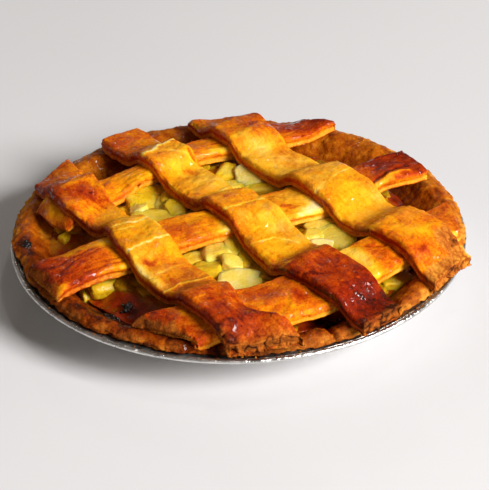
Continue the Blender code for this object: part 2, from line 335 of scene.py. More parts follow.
def pastry_finish(name, glaze, mottling, tones):
    """Baked shortcrust under a coat of egg: mottled, freckled, streaked by the brush, glossy where the egg is
    thick. The browning and the dryness of each spot come from the piece's own attributes; on the strips the
    dryness also draws spots of painted sheen, pale and dull.

    Blotches change over about 9 mm, mottling over 3 mm and the grain over 1 mm, drawn coarser than flour and
    fat are. Freckles lie 2 mm apart, bubbles 3 mm, brush streaks 1.6 mm, and the egg pools over about 5 mm."""
    finish, tree, shader = new_finish(name)
    place = add(tree, "ShaderNodeTexCoord").outputs["Object"]
    brown = add(tree, "ShaderNodeAttribute", attribute_name="browning").outputs["Fac"]
    dry_and_sheen = add(tree, "ShaderNodeAttribute", attribute_name="dryness_and_sheen").outputs["Fac"]
    lay = add(tree, "ShaderNodeAttribute", attribute_name="lay").outputs["Vector"]
    blotch = add(tree, "ShaderNodeTexNoise", {"Vector": place, "Scale": 110, "Detail": 5, "Roughness": 0.62})
    mottle = add(tree, "ShaderNodeTexNoise", {"Vector": place, "Scale": 330, "Detail": 3, "Roughness": 0.6})
    grain = add(tree, "ShaderNodeTexNoise", {"Vector": place, "Scale": 1000, "Detail": 1})
    brushed = add(tree, "ShaderNodeMapping", {0: lay, 3: (110, 620, 300)}, vector_type="POINT")
    streak = add(tree, "ShaderNodeTexNoise", {"Vector": brushed.outputs[0], "Scale": 1, "Detail": 2})
    freckle = add(tree, "ShaderNodeTexVoronoi", {"Vector": place, "Scale": 520})
    spot = add(tree, "ShaderNodeMapRange", {0: freckle.outputs["Distance"], 1: 0.1, 2: 0.34, 3: 0.1, 4: 0.0})
    bubble = add(tree, "ShaderNodeTexVoronoi", {"Vector": place, "Scale": 300})
    pale = add(tree, "ShaderNodeMapRange", {0: bubble.outputs["Distance"], 1: 0.08, 2: 0.2, 3: -0.16, 4: 0.0})

    # Pale and very dark pastry is less mottled than golden brown.
    mixed = brown
    calm = add(tree, "ShaderNodeValToRGB", {0: brown},
               stops=((0.2, (0.26, 0.26, 0.26, 1)), (0.55, (1, 1, 1, 1)), (0.85, (0.6, 0.6, 0.6, 1))))
    for pattern, depth in ((blotch, 0.3), (mottle, 0.32), (grain, 0.26), (streak, 0.24)):
        middle = add(tree, "ShaderNodeMath", {0: pattern.outputs[0], 1: -0.5}, operation="ADD")
        middle = add(tree, "ShaderNodeMath", {0: middle.outputs[0], 1: calm.outputs[0]}, operation="MULTIPLY")
        mixed = add(tree, "ShaderNodeMath", {0: middle.outputs[0], 1: depth * mottling, 2: mixed},
                    operation="MULTIPLY_ADD").outputs[0]
    mixed = add(tree, "ShaderNodeMath", {0: spot.outputs[0], 1: brown, 2: mixed},
                operation="MULTIPLY_ADD").outputs[0]
    mixed = add(tree, "ShaderNodeMath", {0: pale.outputs[0], 1: mottle.outputs[0], 2: mixed},
                operation="MULTIPLY_ADD")
    baked = add(tree, "ShaderNodeValToRGB", {0: mixed.outputs[0]}, stops=[(p, linear(c)) for p, c in tones])
    # Unglazed dough's tones, which also paint the spots of painted sheen.
    crumb = add(tree, "ShaderNodeValToRGB", {0: mixed.outputs[0]},
                stops=((0.1, linear("#F2CE7C")), (0.42, linear("#DB9534")), (0.68, linear("#A3561A")),
                       (0.95, linear("#38180B"))))
    colour = add(tree, "ShaderNodeMix", {0: dry_and_sheen, 6: baked.outputs[0], 7: crumb.outputs[0]}, data_type="RGBA")
    rough = add(tree, "ShaderNodeMapRange", {0: dry_and_sheen, 1: 0, 2: 1, 3: 0.36, 4: 0.8})
    rough = add(tree, "ShaderNodeMath", {0: grain.outputs[0], 1: 0.2, 2: rough.outputs[0]},
                operation="MULTIPLY_ADD")
    relief = blotch.outputs[0]
    for pattern, depth in ((mottle, 0.55), (grain, 0.32), (streak, 0.22)):
        relief = add(tree, "ShaderNodeMath", {0: pattern.outputs[0], 1: depth, 2: relief},
                     operation="MULTIPLY_ADD").outputs[0]
    bump = add(tree, "ShaderNodeBump", {"Height": relief, "Distance": 1.1 * MM, "Strength": 0.75})
    pool = add(tree, "ShaderNodeTexNoise", {"Vector": place, "Scale": 210, "Detail": 1})
    skin = add(tree, "ShaderNodeBump", {"Height": pool.outputs[0], "Distance": 2.6 * MM, "Strength": 1.0})
    wet = add(tree, "ShaderNodeMapRange", {0: blotch.outputs[0], 1: 0.46, 2: 0.62, 3: 0.04, 4: 1.0})
    bare = add(tree, "ShaderNodeMapRange", {0: dry_and_sheen, 1: 0.1, 2: 0.6, 3: glaze, 4: 0.0})
    egg = add(tree, "ShaderNodeMath", {0: wet.outputs[0], 1: bare.outputs[0]}, operation="MULTIPLY")
    feed(tree, shader, {
        "Coat Weight": egg.outputs[0], "Coat Normal": skin.outputs[0], "Base Color": colour.outputs[2],
        "Roughness": rough.outputs[0], "Normal": bump.outputs[0], "Specular IOR Level": 0.04,
        "Coat IOR": 1.42, "Coat Roughness": 0.05})
    return finish


def read_points(mesh):
    """A mesh's points as an array."""
    values = np.zeros(len(mesh.vertices) * 3, np.float32)
    mesh.vertices.foreach_get("co", values)
    return values.reshape(-1, 3).astype(float)


def read_normals(mesh):
    """The direction each point of a mesh faces."""
    values = np.zeros(len(mesh.vertices) * 3, np.float32)
    mesh.vertex_normals.foreach_get("vector", values)
    return values.reshape(-1, 3).astype(float)


def move_points(mesh, points):
    """Puts a mesh's points at new places."""
    mesh.vertices.foreach_set("co", np.asarray(points, np.float32).ravel())
    mesh.update()


def solid_tree(node):
    """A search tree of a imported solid, for finding its surface with rays."""
    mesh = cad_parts[node].data
    mesh.calc_loop_triangles()
    corners = [tuple(t.vertices) for t in mesh.loop_triangles]
    return BVHTree.FromPolygons([v.co.copy() for v in mesh.vertices], corners)


def drop(tree, x, y, up=False):
    """Height at which a ray straight down (or up) meets a solid, or nan."""
    start = Vector((x, y, -0.1 if up else 0.1))
    hit = tree.ray_cast(start, Vector((0, 0, 1 if up else -1)))[0]
    return hit.z if hit else math.nan


def blur(values, sigma, axis, wrap=False):
    """Gaussian smoothing of an array along one axis; sigma counts its steps."""
    reach = int(math.ceil(sigma * 3))
    weights = np.exp(-0.5 * (np.arange(-reach, reach + 1) / sigma) ** 2)
    weights /= weights.sum()
    pad = [(0, 0)] * values.ndim
    pad[axis] = (reach, reach)
    padded = np.pad(values, pad, mode="wrap" if wrap else "edge")
    count = values.shape[axis]
    slices = [np.take(padded, range(k, k + count), axis=axis) for k in range(2 * reach + 1)]
    return sum(w * s for w, s in zip(weights, slices))


def spots_at(points, places):
    """How strongly each point lies on some oval spots: (angle, radius mm, length mm, width mm, strength)."""
    total = np.zeros(len(points))
    angle = np.degrees(np.arctan2(points[:, 1], points[:, 0]))
    radius = np.hypot(points[:, 0], points[:, 1])
    for where, reach, length, width, strength in places:
        aside = np.radians((angle - where + 180) % 360 - 180) * reach * MM
        outward = radius - reach * MM
        total += strength * np.exp(-(aside / (length * MM)) ** 2 - (outward / (width * MM)) ** 2)
    return total


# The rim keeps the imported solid's heights; round the back it is stretched out over the tin's edge.
case_tree = solid_tree("pastry_case")
case_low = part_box("pastry_case")[0]
angles = np.linspace(0, 2 * math.pi, CASE_STEPS, endpoint=False)
sample_angles = angles[::5]
sample_radii = np.arange(88, 121.5, 0.75) * MM
raw = np.array([[drop(case_tree, r * math.cos(a), r * math.sin(a)) for a in sample_angles]
                for r in sample_radii])
lip = np.array([sample_radii[np.flatnonzero(np.isfinite(column))[-1]] for column in raw.T])
lip_reach = blur(np.interp(angles, sample_angles, lip, period=2 * math.pi), 12, 0, wrap=True)
packed_lip = lip_reach
bearing = np.degrees(angles)
over_edge = smooth_step((bearing + 22) / 16) * smooth_step((196 - bearing) / 12)
over_edge += smooth_step((bearing - 338) / 16)
over_edge *= 1 - 0.4 * np.exp(-((bearing - 17) / 9) ** 2)
round_rim = np.column_stack((np.cos(angles), np.sin(angles), 0 * angles)) * COVERED_EDGE
ragged = 0.6 * wander(round_rim, 6 * MM, 15) + 0.35 * wander(round_rim, 2.5 * MM, 16)
lip_reach = lip_reach + over_edge * (COVERED_EDGE - lip_reach) + (0.4 + ragged) * MM
columns = []
for column in raw.T:
    known = np.isfinite(column)
    columns.append(np.interp(sample_radii, sample_radii[known], column[known]))
tops = blur(np.array(columns).T, 1.5, 1, wrap=True)

seen = np.linspace(0, 1, CASE_ROWS) ** 0.9
reach_grid = SEEN_FROM + (lip_reach[None] - RIM_EDGE - SEEN_FROM) * seen[:, None]
height_grid = np.zeros_like(reach_grid)
for k in range(CASE_STEPS):
    place = k / CASE_STEPS * len(sample_angles)
    i, share = int(place), place % 1
    column = tops[:, i] * (1 - share) + tops[:, (i + 1) % len(sample_angles)] * share
    squeeze = (packed_lip[k] - STRETCH_FROM) / (lip_reach[k] - STRETCH_FROM)
    packed_reach = np.where(reach_grid[:, k] < STRETCH_FROM, reach_grid[:, k],
                            STRETCH_FROM + (reach_grid[:, k] - STRETCH_FROM) * squeeze)
    height_grid[:, k] = np.interp(packed_reach, sample_radii, column)

# Rows of points round the case, each a radius and a height: up the inside, over the rim, down its edge, and
# back under.
edge_height = height_grid[-1]
flange_top = case_low.z + flange_height + 0.1 * MM + over_edge * 0.9 * MM
brink = []
for turn_down in np.linspace(0.12, 1, 8):
    drop_angle = turn_down * math.pi * 0.5
    out = lip_reach - RIM_EDGE + RIM_EDGE * math.sin(drop_angle)
    brink.append((out, edge_height + (flange_top - edge_height) * (1 - math.cos(drop_angle)) ** 0.9))
level = np.zeros(CASE_STEPS)
under = [
    (lip_reach - 1.5 * MM, flange_top),
    (level + WALL_TOP_RADIUS - CASE_WALL, flange_top - 0.2 * MM),
    (level + BASE_RADIUS - CASE_WALL, level + case_low.z),
    (level + MIDDLE_HOLE, level + case_low.z),
]
inside = [
    (level + MIDDLE_HOLE, level + CASE_FLOOR),
    (level + BASE_RADIUS - CASE_WALL_FOOT + 3 * MM, level + CASE_FLOOR),
]
radius = np.vstack([reach for reach, _ in inside] + [reach_grid] + [reach for reach, _ in brink + under])
height = np.vstack([rise for _, rise in inside] + [height_grid] + [rise for _, rise in brink + under])
points = np.stack((radius * np.cos(angles), radius * np.sin(angles), height), -1).reshape(-1, 3)
rows = len(radius)
crust_finish = pastry_finish("egg-brushed shortcrust rim", 0.7, 1.1, RIM_TONES)
crust = build("pastry_rim_and_case", points, ring_faces(rows, CASE_STEPS), crust_finish)
row_of = np.repeat(np.arange(rows), CASE_STEPS)
shown = ((row_of >= len(inside)) & (row_of < rows - len(under))).astype(float)
inner_share = smooth_step((np.hypot(points[:, 0], points[:, 1]) - 92 * MM) / (5 * MM))
normals = read_normals(crust.data)
outer = smooth_step((row_of - len(inside) - CASE_ROWS + 9) / 9)

# Bumps and folds of the hand-pressed rim: angle, radius in mm, length, width in mm, and rise in mm.
FOLDS = (
    (168, 112, 9, 5, 0.9), (179, 105, 6, 5, -1.0), (178, 100, 9, 4, 1.8), (8, 112, 14, 6, 1.4),
    (196, 111, 10, 6, 0.8), (137, 110, 10, 5, 1.4), (127, 112, 3, 7, -2.2), (116, 110, 8, 5, 0.8),
    (104, 112, 9, 4, 0.9), (58, 110, 12, 6, 0.8), (42, 111, 3, 6, -1.6), (33, 111, 7, 4, 0.8),
    (18, 108, 7, 5, 1.3), (10, 112, 4, 4, -1.2), (-4, 112, 9, 4, 0.6), (-36, 110, 7, 6, 1.2),
    (-45, 111, 2.2, 8, -3.4), (-50, 110, 4, 5, 1.2), (-57.5, 112, 2, 8, -3.6), (-62, 110, 4, 5, 1.6),
    (-66.5, 111, 1.4, 8, -3.0), (-71, 110, 4.5, 5, 1.6), (-76, 112, 1.5, 7, -2.8), (-98, 111, 2, 7, -2.4),
    (-118, 110, 9, 5, 0.5), (-129, 103, 6, 4, -0.8), (-141, 109, 9, 6, 0.8), (-152, 111, 3, 6, -1.2),
)
rise = spots_at(points, FOLDS) + 0.7 * wander(points, 11 * MM, 4) + 0.35 * wander(points, 4.5 * MM, 5)
flaky = np.abs(wander(points, 2.2 * MM, 6))
rise += 0.34 * wander(points, 1.8 * MM, 7)
rise += outer * (0.6 * wander(points * (1, 1, 2.4), 2.4 * MM, 8) - 0.5 * flaky)
points = points + normals * (rise * shown * inner_share * MM)[:, None]
over_flange = (shown > 0) & (np.hypot(points[:, 0], points[:, 1]) > WALL_TOP_RADIUS)
points[over_flange, 2] = np.maximum(points[over_flange, 2], flange_top.min() - 0.1 * MM)
move_points(crust.data, points)

# Where the rim is darker or paler than its usual brown: angle, radius in mm, length, width in mm, and by how
# much. And where its edge crumbles.
RIM_BROWNING = (
    (-174, 114, 7, 4, 0.34), (178, 102, 12, 6, -0.24), (-168, 111, 5, 3, 0.2), (-176, 104, 14, 5, 0.12),
    (-131, 100, 9, 3, 0.22), (-143, 110, 12, 5, -0.05), (-126, 112, 12, 4, -0.06), (-112, 113, 12, 4, -0.06),
    (-36, 110, 8, 6, -0.08), (-47, 110, 6, 6, 0.12), (-63, 110, 6, 5, 0.02), (-71, 110, 5, 5, -0.02),
    (57, 106, 16, 6, 0.02), (36, 110, 8, 5, 0.04), (137, 110, 10, 5, -0.02), (108, 111, 10, 4, 0.02),
    (168, 113, 10, 4, -0.04),
)
CRUMBLING = ((-70, 114, 40, 8, 0.8), (-40, 114, 20, 8, 0.4), (30, 113, 25, 6, 0.5))
RIM_BROWN = 0.62                # of the way from raw to burnt, before these changes
bearing = np.degrees(np.arctan2(points[:, 1], points[:, 0]))
# Painted light and shade: the rim is browner towards the front, as darker pastry and painted shade, and paler
# towards the left and the back right, as painted light on slopes turned from the lamp.
towards_left = np.exp(-(((bearing + 15) % 360 - 180) / 30) ** 2)
towards_back = np.exp(-(((bearing + 140) % 360 - 180) / 50) ** 2)
towards_front = np.exp(-(((bearing + 290) % 360 - 180) / 55) ** 2)
browning = RIM_BROWN + 0.27 * towards_front - 0.12 * towards_left - 0.08 * towards_back
browning += spots_at(points, RIM_BROWNING)
browning += 0.09 * wander(points, 9 * MM, 9) + 0.12 * wander(points, 3 * MM, 10)
browning += 0.3 * np.clip(wander(points, 6 * MM, 14) - 0.4, 0, 1)
browning += 0.04 * np.clip(rise, -1.5, 1.5) - 0.08 * outer
crumbling = outer * smooth_step(0.5 + 1.2 * wander(points, 7 * MM, 11) + spots_at(points, CRUMBLING))
set_layer(crust.data, "browning", np.clip(browning, 0.05, 1))
set_layer(crust.data, "dryness_and_sheen", np.clip(crumbling, 0, 1))
around = np.arctan2(points[:, 1], points[:, 0]) * LAY_RADIUS
set_layer(crust.data, "lay", np.column_stack((around, np.hypot(points[:, 0], points[:, 1]), points[:, 2])))
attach(crust, "root")
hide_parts("pastry_case")


# Apple filling
# Peeled, diced apple stewed soft in its own juice and heaped in the case. It shows in the lattice's openings:
# cut faces and rounded corners, pale on top, with brown juice pooled and burnt between them near the rim.

JUICE_SINK = 2.4 * MM           # the juice lies this far below the heap's top
JUICE_RINGS = 90
JUICE_STEPS = 480               # points round
SPILL_REACH = 98 * MM           # juice boiled over the rim here, at the left
SPILL_RADIUS = 12.5 * MM
HEAP_EDGE = 91 * MM
ALL_PIECES = 170
PIECE_GAP = 10 * MM             # the least between the loose pieces' middles, closed up until all are in
GAP_CLOSING = 0.9985            # at each place that won't do, the gap shrinks to this share
PLUMP = 0.57                    # half a shown piece's length or width, swollen so that neighbours touch
LOOSE_HALF = ((5.5, 5, 4), (8, 6.5, 5))     # a loose piece's least and greatest half size, in mm


def apple_finish():
    """Stewed apple: waxy yellow flesh with a wet skin of juice; its tone comes from each piece.

    It clouds over about 8 mm, and its fibres, drawn coarser than life, lie 1.4 mm apart."""
    finish, tree, shader = new_finish("stewed apple flesh")
    place = add(tree, "ShaderNodeTexCoord").outputs["Object"]
    tone = add(tree, "ShaderNodeAttribute", attribute_name="tone").outputs["Fac"]
    cloud = add(tree, "ShaderNodeTexNoise", {"Vector": place, "Scale": 130, "Detail": 3})
    fibre = add(tree, "ShaderNodeTexNoise", {"Vector": place, "Scale": 700, "Detail": 2})
    mixed = add(tree, "ShaderNodeMath", {0: cloud.outputs[0], 1: 0.7, 2: tone}, operation="MULTIPLY_ADD")
    mixed = add(tree, "ShaderNodeMath", {0: fibre.outputs[0], 1: 0.25, 2: mixed.outputs[0]},
                operation="MULTIPLY_ADD")
    mixed = add(tree, "ShaderNodeMath", {0: mixed.outputs[0], 1: -0.475}, operation="ADD")
    flesh = add(tree, "ShaderNodeValToRGB", {0: mixed.outputs[0]},
                stops=((0.0, linear("#7A4208")), (0.2, linear("#B9880A")), (0.42, linear("#DBB418")),
                       (0.68, linear("#E6CC5A")), (1.0, linear("#EEDDA4"))))
    bump = add(tree, "ShaderNodeBump", {"Height": fibre.outputs[0], "Distance": 0.6 * MM, "Strength": 0.8})
    feed(tree, shader, {
        "Base Color": flesh.outputs[0], "Normal": bump.outputs[0], "Coat Normal": bump.outputs[0],
        "Roughness": 0.4, "Specular IOR Level": 0.15, "Coat Weight": 0.5, "Coat IOR": 1.33,
        "Coat Roughness": 0.1, "Subsurface Weight": 0.6, "Subsurface Radius": (1.0, 0.6, 0.15),
        "Subsurface Scale": 3 * MM})
    return finish


def juice_finish():
    """Apple juice boiled down to a sticky brown syrup: glossy, clouded over about 5 mm, and darker where the
    attribute says it is scorched."""
    finish, tree, shader = new_finish("boiled apple syrup")
    place = add(tree, "ShaderNodeTexCoord").outputs["Object"]
    brown = add(tree, "ShaderNodeAttribute", attribute_name="browning").outputs["Fac"]
    cloud = add(tree, "ShaderNodeTexNoise", {"Vector": place, "Scale": 190, "Detail": 4})
    mixed = add(tree, "ShaderNodeMath", {0: cloud.outputs[0], 1: 0.4, 2: brown}, operation="MULTIPLY_ADD")
    syrup = add(tree, "ShaderNodeValToRGB", {0: mixed.outputs[0]},
                stops=((0.15, linear("#C8A21A")), (0.42, linear("#A46808")), (0.7, linear("#9C2E07")),
                       (1.0, linear("#420D03"))))
    bump = add(tree, "ShaderNodeBump", {"Height": cloud.outputs[0], "Distance": 2 * MM, "Strength": 0.8})
    feed(tree, shader, {
        "Base Color": syrup.outputs[0], "Normal": bump.outputs[0], "Coat Normal": bump.outputs[0],
        "Roughness": 0.25, "Specular IOR Level": 0.1, "Coat Weight": 0.8, "Coat IOR": 1.36,
        "Coat Roughness": 0.06})
    return finish


def round_cube(name, steps, squareness, cuts, seed, finish=None):
    """A block with soft corners, one unit to a side from its middle, trimmed flat by some knife cuts."""
    grid = np.linspace(-1, 1, steps + 1)
    a, b = [m.ravel() for m in np.meshgrid(grid, grid, indexing="ij")]
    one = np.ones_like(a)
    sides = [(a, b, one), (b, a, -one), (one, a, b), (-one, b, a), (b, one, a), (a, -one, b)]
    points = np.vstack([np.column_stack(side) for side in sides])
    points /= (np.abs(points) ** squareness).sum(1)[:, None] ** (1 / squareness)
    for direction, depth in cuts:
        direction = np.array(direction, float) / np.linalg.norm(direction)
        points -= np.clip(points @ direction - depth, 0, None)[:, None] * direction
    points += 0.07 * np.column_stack([wander(points + 5, 0.8, seed + k) for k in range(3)])
    points += 0.04 * np.column_stack([wander(points + 5, 0.35, seed + 4 + k) for k in range(3)])
    square = np.arange(steps * (steps + 1)).reshape(steps, steps + 1)[:, :-1].ravel()
    side = np.stack((square, square + steps + 1, square + steps + 2, square + 1), -1)
    faces = np.vstack([side + k * (steps + 1) ** 2 for k in range(6)])
    obj = build(name, points, faces, finish)
    weld = obj.modifiers.new("weld", "WELD")
    weld.merge_threshold = 0.001
    mesh = bpy.data.meshes.new_from_object(obj.evaluated_get(bpy.context.evaluated_depsgraph_get()))
    obj.modifiers.clear()
    obj.data = mesh
    return obj


def scatter(name, spots, turns, sizes, layers, pieces, finish):
    """Copies of some small pieces set on spots by Geometry Nodes, each with its own turn, size and layers."""
    cloud = bpy.data.meshes.new(name)
    cloud.from_pydata(np.asarray(spots).tolist(), [], [])
    set_layer(cloud, "turn", turns)
    set_layer(cloud, "size", sizes)
    for layer, values in layers.items():
        set_layer(cloud, layer, values)
    obj = bpy.data.objects.new(name, cloud)
    scene.collection.objects.link(obj)
    tray = bpy.data.collections.new(name + " pieces")
    for piece in pieces:
        tray.objects.link(piece)
        scene.collection.objects.unlink(piece)
    tree = bpy.data.node_groups.new(name + " scatter", "GeometryNodeTree")
    for socket, kind in (("Spots", "NodeSocketGeometry"), ("Pieces", "NodeSocketCollection"),
                         ("Size", "NodeSocketFloat"), ("Seed", "NodeSocketInt"),
                         ("Finish", "NodeSocketMaterial")):
        tree.interface.new_socket(socket, in_out="INPUT", socket_type=kind)
    tree.interface.new_socket("Heap", in_out="OUTPUT", socket_type="NodeSocketGeometry")
    given = add(tree, "NodeGroupInput").outputs
    set_of = add(tree, "GeometryNodeCollectionInfo",
                 {"Collection": given["Pieces"], "Separate Children": True, "Reset Children": True})
    pick = add(tree, "FunctionNodeRandomValue", {"Seed": given["Seed"], 4: 0, 5: len(pieces) - 1},
               data_type="INT")
    turn = add(tree, "GeometryNodeInputNamedAttribute", {"Name": "turn"}, data_type="FLOAT_VECTOR")
    size = add(tree, "GeometryNodeInputNamedAttribute", {"Name": "size"}, data_type="FLOAT_VECTOR")
    scale = add(tree, "ShaderNodeVectorMath", {0: size.outputs[0], 3: given["Size"]}, operation="SCALE")
    copies = add(tree, "GeometryNodeInstanceOnPoints", {
        "Points": given["Spots"], "Instance": set_of.outputs[0], "Pick Instance": True,
        "Instance Index": pick.outputs[2], "Rotation": turn.outputs[0], "Scale": scale.outputs[0]})
    real = add(tree, "GeometryNodeRealizeInstances", {0: copies.outputs[0]})
    dressed = add(tree, "GeometryNodeSetMaterial", {0: real.outputs[0], "Material": given["Finish"]})
    add(tree, "NodeGroupOutput", {0: dressed.outputs[0]})
    scattering = obj.modifiers.new("scatter", "NODES")
    scattering.node_group = tree
    values = {"Pieces": tray, "Size": 1.0, "Seed": 7, "Finish": finish}
    for item in tree.interface.items_tree:
        if item.in_out == "INPUT" and item.name in values:
            scattering[item.identifier] = values[item.name]
    mesh = bpy.data.meshes.new_from_object(obj.evaluated_get(bpy.context.evaluated_depsgraph_get()))
    mesh.shade_smooth()
    obj.modifiers.clear()
    obj.data = mesh
    for piece in pieces:
        bpy.data.objects.remove(piece)
    return obj


filling_tree = solid_tree("apple_filling")
filling_low, filling_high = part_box("apple_filling")
crust_mesh = crust.data
crust_mesh.calc_loop_triangles()
crust_tree = BVHTree.FromPolygons(read_points(crust_mesh).tolist(),
                                  [tuple(t.vertices) for t in crust_mesh.loop_triangles])

# The juice follows the heap, a little below it. Each point is looked up a hair further in, so that the last
# ring still meets the solid.
syrup_rings = np.linspace(0.02, 1, JUICE_RINGS) ** 0.8 * (filling_high.x - 0.5 * MM)
angles = np.linspace(0, 2 * math.pi, JUICE_STEPS, endpoint=False)
points = []
for r in syrup_rings:
    ring = np.column_stack((r * np.cos(angles), r * np.sin(angles)))
    tops = np.array([drop(filling_tree, x * 0.995, y * 0.995) for x, y in ring])
    points.append(np.column_stack((ring, np.where(np.isfinite(tops), tops, filling_low.z + 15 * MM))))
top = np.vstack(points)
depth = smooth_step((97.5 * MM - np.hypot(top[:, 0], top[:, 1])) / (6 * MM)) * JUICE_SINK
top[:, 2] += -depth + 0.9 * MM * wander(top, 9 * MM, 21) + 0.4 * MM * wander(top, 4 * MM, 22)

# Where it boiled over it swells outwards and lies on the crust in a thin skin that tucks in at its edge.
spill = np.exp(-(np.hypot(top[:, 0] + SPILL_REACH, top[:, 1]) / SPILL_RADIUS) ** 3)
pushed_out = 0.085 * spill * smooth_step((np.hypot(top[:, 0], top[:, 1]) - 86 * MM) / (11 * MM))
top[:, :2] *= (1 + pushed_out)[:, None]
top[:, 2] += (3.5 + 1.2 * wander(top, 4.5 * MM, 23)) * MM * spill
for i in np.flatnonzero(spill > 0.05):
    ground = drop(crust_tree, top[i, 0], top[i, 1])
    if math.isfinite(ground):
        tuck = 2.4 * smooth_step((math.hypot(top[i, 0], top[i, 1]) - SPILL_REACH) / (6 * MM))
        skin = 2.3 * spill[i] - 0.9 - tuck + 0.4 * math.sin(i)
        top[i, 2] = max(top[i, 2] - tuck * MM, ground + skin * MM)
foot_reach = 0.85 * syrup_rings[-1]
foot = np.column_stack((foot_reach * np.cos(angles), foot_reach * np.sin(angles),
                        np.full(JUICE_STEPS, filling_low.z)))
points = np.vstack((top, foot))
syrup = build("juice_under_the_apple", points, ring_faces(JUICE_RINGS + 1, JUICE_STEPS), juice_finish())
radial = np.hypot(points[:, 0], points[:, 1])
SCORCHED = ((-130, 90, 14, 7, 0.34), (180, 102, 12, 7, -0.06), (-60, 94, 14, 5, 0.5), (-32, 92, 12, 6, 0.3),
            (15, 94, 20, 6, 0.2))
scorch = 0.08 + 0.32 * smooth_step((radial - 70 * MM) / (20 * MM)) + spots_at(points, SCORCHED)
scorch += 0.16 * wander(points, 5 * MM, 24)
set_layer(syrup.data, "browning", np.clip(scorch, 0, 1))

# Pieces that show: middle in mm, size in mm, turn in degrees, tilt in degrees, rise in mm, tone.
# The darkest tones, on the pieces near (13, -50), (17, -62) and (21, -45) mm, are partly painted shade.
SHOWN_PIECES = (
    (-50, 22, 19, 12, 9, 14, 10, 0.5, 0.46), (-53, 12, 9, 9, 9, 0, -12, 1.3, 0.72),
    (-44, 4, 24, 12, 9, -6, 3, 0, 0.5), (-33, 12, 11, 12, 10, 20, 6, 0.8, 0.44),
    (-48, 34, 20, 10, 9, 10, 8, 0.6, 0.4), (-60, 14, 12, 12, 8, 30, 0, -1, 0.4),
    (-34, 25, 14, 12, 9, 5, 0, 0, 0.4), (-57, 30, 9, 9, 8, 10, 0, -1.5, 0.62),
    (-6, 50, 10, 15, 10, -14, 8, 0.6, 0.42), (8, 45, 17, 18, 11, 4, 7, 1.2, 0.74),
    (13, 33, 22, 7, 8, -3, 0, -0.4, 0.44), (-4, 35, 14, 10, 8, 10, 0, -1, 0.42),
    (22, 47, 12, 12, 8, 20, 0, -2.5, 0.3), (-12, -34, 13, 16, 10, 16, -5, 0.8, 0.6),
    (-16, -48, 13, 13, 10, -8, -8, 0.2, 0.42), (-3, -30, 10, 14, 10, -6, 6, 0.6, 0.5),
    (-4, -45, 10, 9.5, 10, 8, 12, 1.8, 0.58), (0, -59, 20, 17, 10, -6, 9, 1.0, 0.7),
    (5, -39, 10, 12, 9, 20, 6, 0.2, 0.34), (13, -50, 14, 14, 9, -5, 0, -1.4, 0.2),
    (17, -62, 13, 10, 8, 30, 0, -1.5, 0.24), (21, -45, 12, 11, 8, 40, 0, -2.5, 0.2),
    (-24, -38, 11, 12, 8, 0, 0, -0.5, 0.5), (-19, -60, 12, 11, 8, 10, 0, -0.5, 0.5),
    (52, -20, 18, 19, 11, -4, 5, 0.8, 0.56), (39, -19, 10, 9, 9, 6, 0, 0.2, 0.5),
    (43, -29, 11, 9, 9, -12, 8, 0.6, 0.8), (44, -9, 16, 10, 8, 20, 0, 0.2, 0.6),
    (65, -27, 12, 12, 8, 10, 0, -1.2, 0.3), (-95, 9, 7, 5, 5, 30, 10, 4.4, 0.5),
    (-89, 4, 7, 6, 5, 10, 20, 3.2, 0.4), (-93, -2, 6, 5, 5, 50, 10, 3.6, 0.3),
    (-78, -51, 8, 9, 8, 20, 8, 1.2, 0.46), (-66, -49, 22, 11, 8, 20, 6, 0.4, 0.38),
    (-84, -42, 12, 9, 8, 20, 0, -0.5, 0.3), (81, -47, 18, 10, 9, 35, 6, 1.4, 0.42),
    (70, -56, 12, 9, 8, 35, 0, -1.5, 0.2), (80, 14, 13, 9, 8, 10, 0, 0.5, 0.45),
)
# Where no piece breaks the juice: middle and radius in mm.
OPEN_SYRUP = ((-54, -68, 13), (-44, -76, 10), (-92, 4, 7), (-10, 59, 4.5), (38, -88, 12), (14, -78, 6))

# Four dice, each with its own knife cuts, stand for all the pieces.
pieces = [
    round_cube("dice_a", 9, 9, (((1, 1, 0.2), 1.1), ((-1, 0.4, 1), 1.12), ((0.15, -1, 0.6), 1.0)), 31),
    round_cube("dice_b", 9, 12, (((0.3, -1, 1), 1.1), ((1, 0.1, -0.5), 0.98), ((-0.8, 1, 0.3), 1.12)), 37),
    round_cube("dice_c", 9, 8, (((-0.7, -1, 0.2), 1.02), ((0.9, 0.9, 1), 1.25), ((0.25, 0.1, 1), 0.95)), 41),
    round_cube("dice_d", 9, 10, (((1, -0.7, 0.8), 1.15), ((-1, 1, 0.1), 1.05), ((-0.3, -0.15, 1), 0.98)), 43),
]
spots, turns, sizes, tones = [], [], [], []
for x, y, length, width, thick, turn_by, tilt, lift, tone in SHOWN_PIECES:
    top_here = drop(filling_tree, x * MM, y * MM)
    spots.append((x * MM, y * MM, top_here + (lift - thick / 2 + 0.5) * MM))
    turns.append(np.radians((tilt, tilt * 0.6, turn_by)))
    sizes.append((length * PLUMP * MM, width * PLUMP * MM, thick * 0.5 * MM))
    tones.append(tone)
chance = np.random.default_rng(12)
gap = PIECE_GAP
while len(spots) < ALL_PIECES:
    r, a = HEAP_EDGE * math.sqrt(chance.random()), 2 * math.pi * chance.random()
    x, y = r * math.cos(a), r * math.sin(a)
    sunk = any(math.hypot(x - u * MM, y - v * MM) < size * MM for u, v, size in OPEN_SYRUP)
    if sunk or min(math.hypot(x - s[0], y - s[1]) for s in spots) < gap:
        gap *= GAP_CLOSING
        continue
    half = chance.uniform(*LOOSE_HALF) * MM
    spots.append((x, y, drop(filling_tree, x, y) - half[2] - chance.uniform(0.8, 2.2) * MM))
    turns.append(np.radians(chance.uniform((-15, -15, 0), (15, 15, 360))))
    sizes.append(half)
    tones.append(chance.uniform(0.3, 0.55) - 0.35 * (r / HEAP_EDGE) ** 3)
apples = scatter("diced_apple", spots, turns, sizes, {"tone": tones}, pieces, apple_finish())

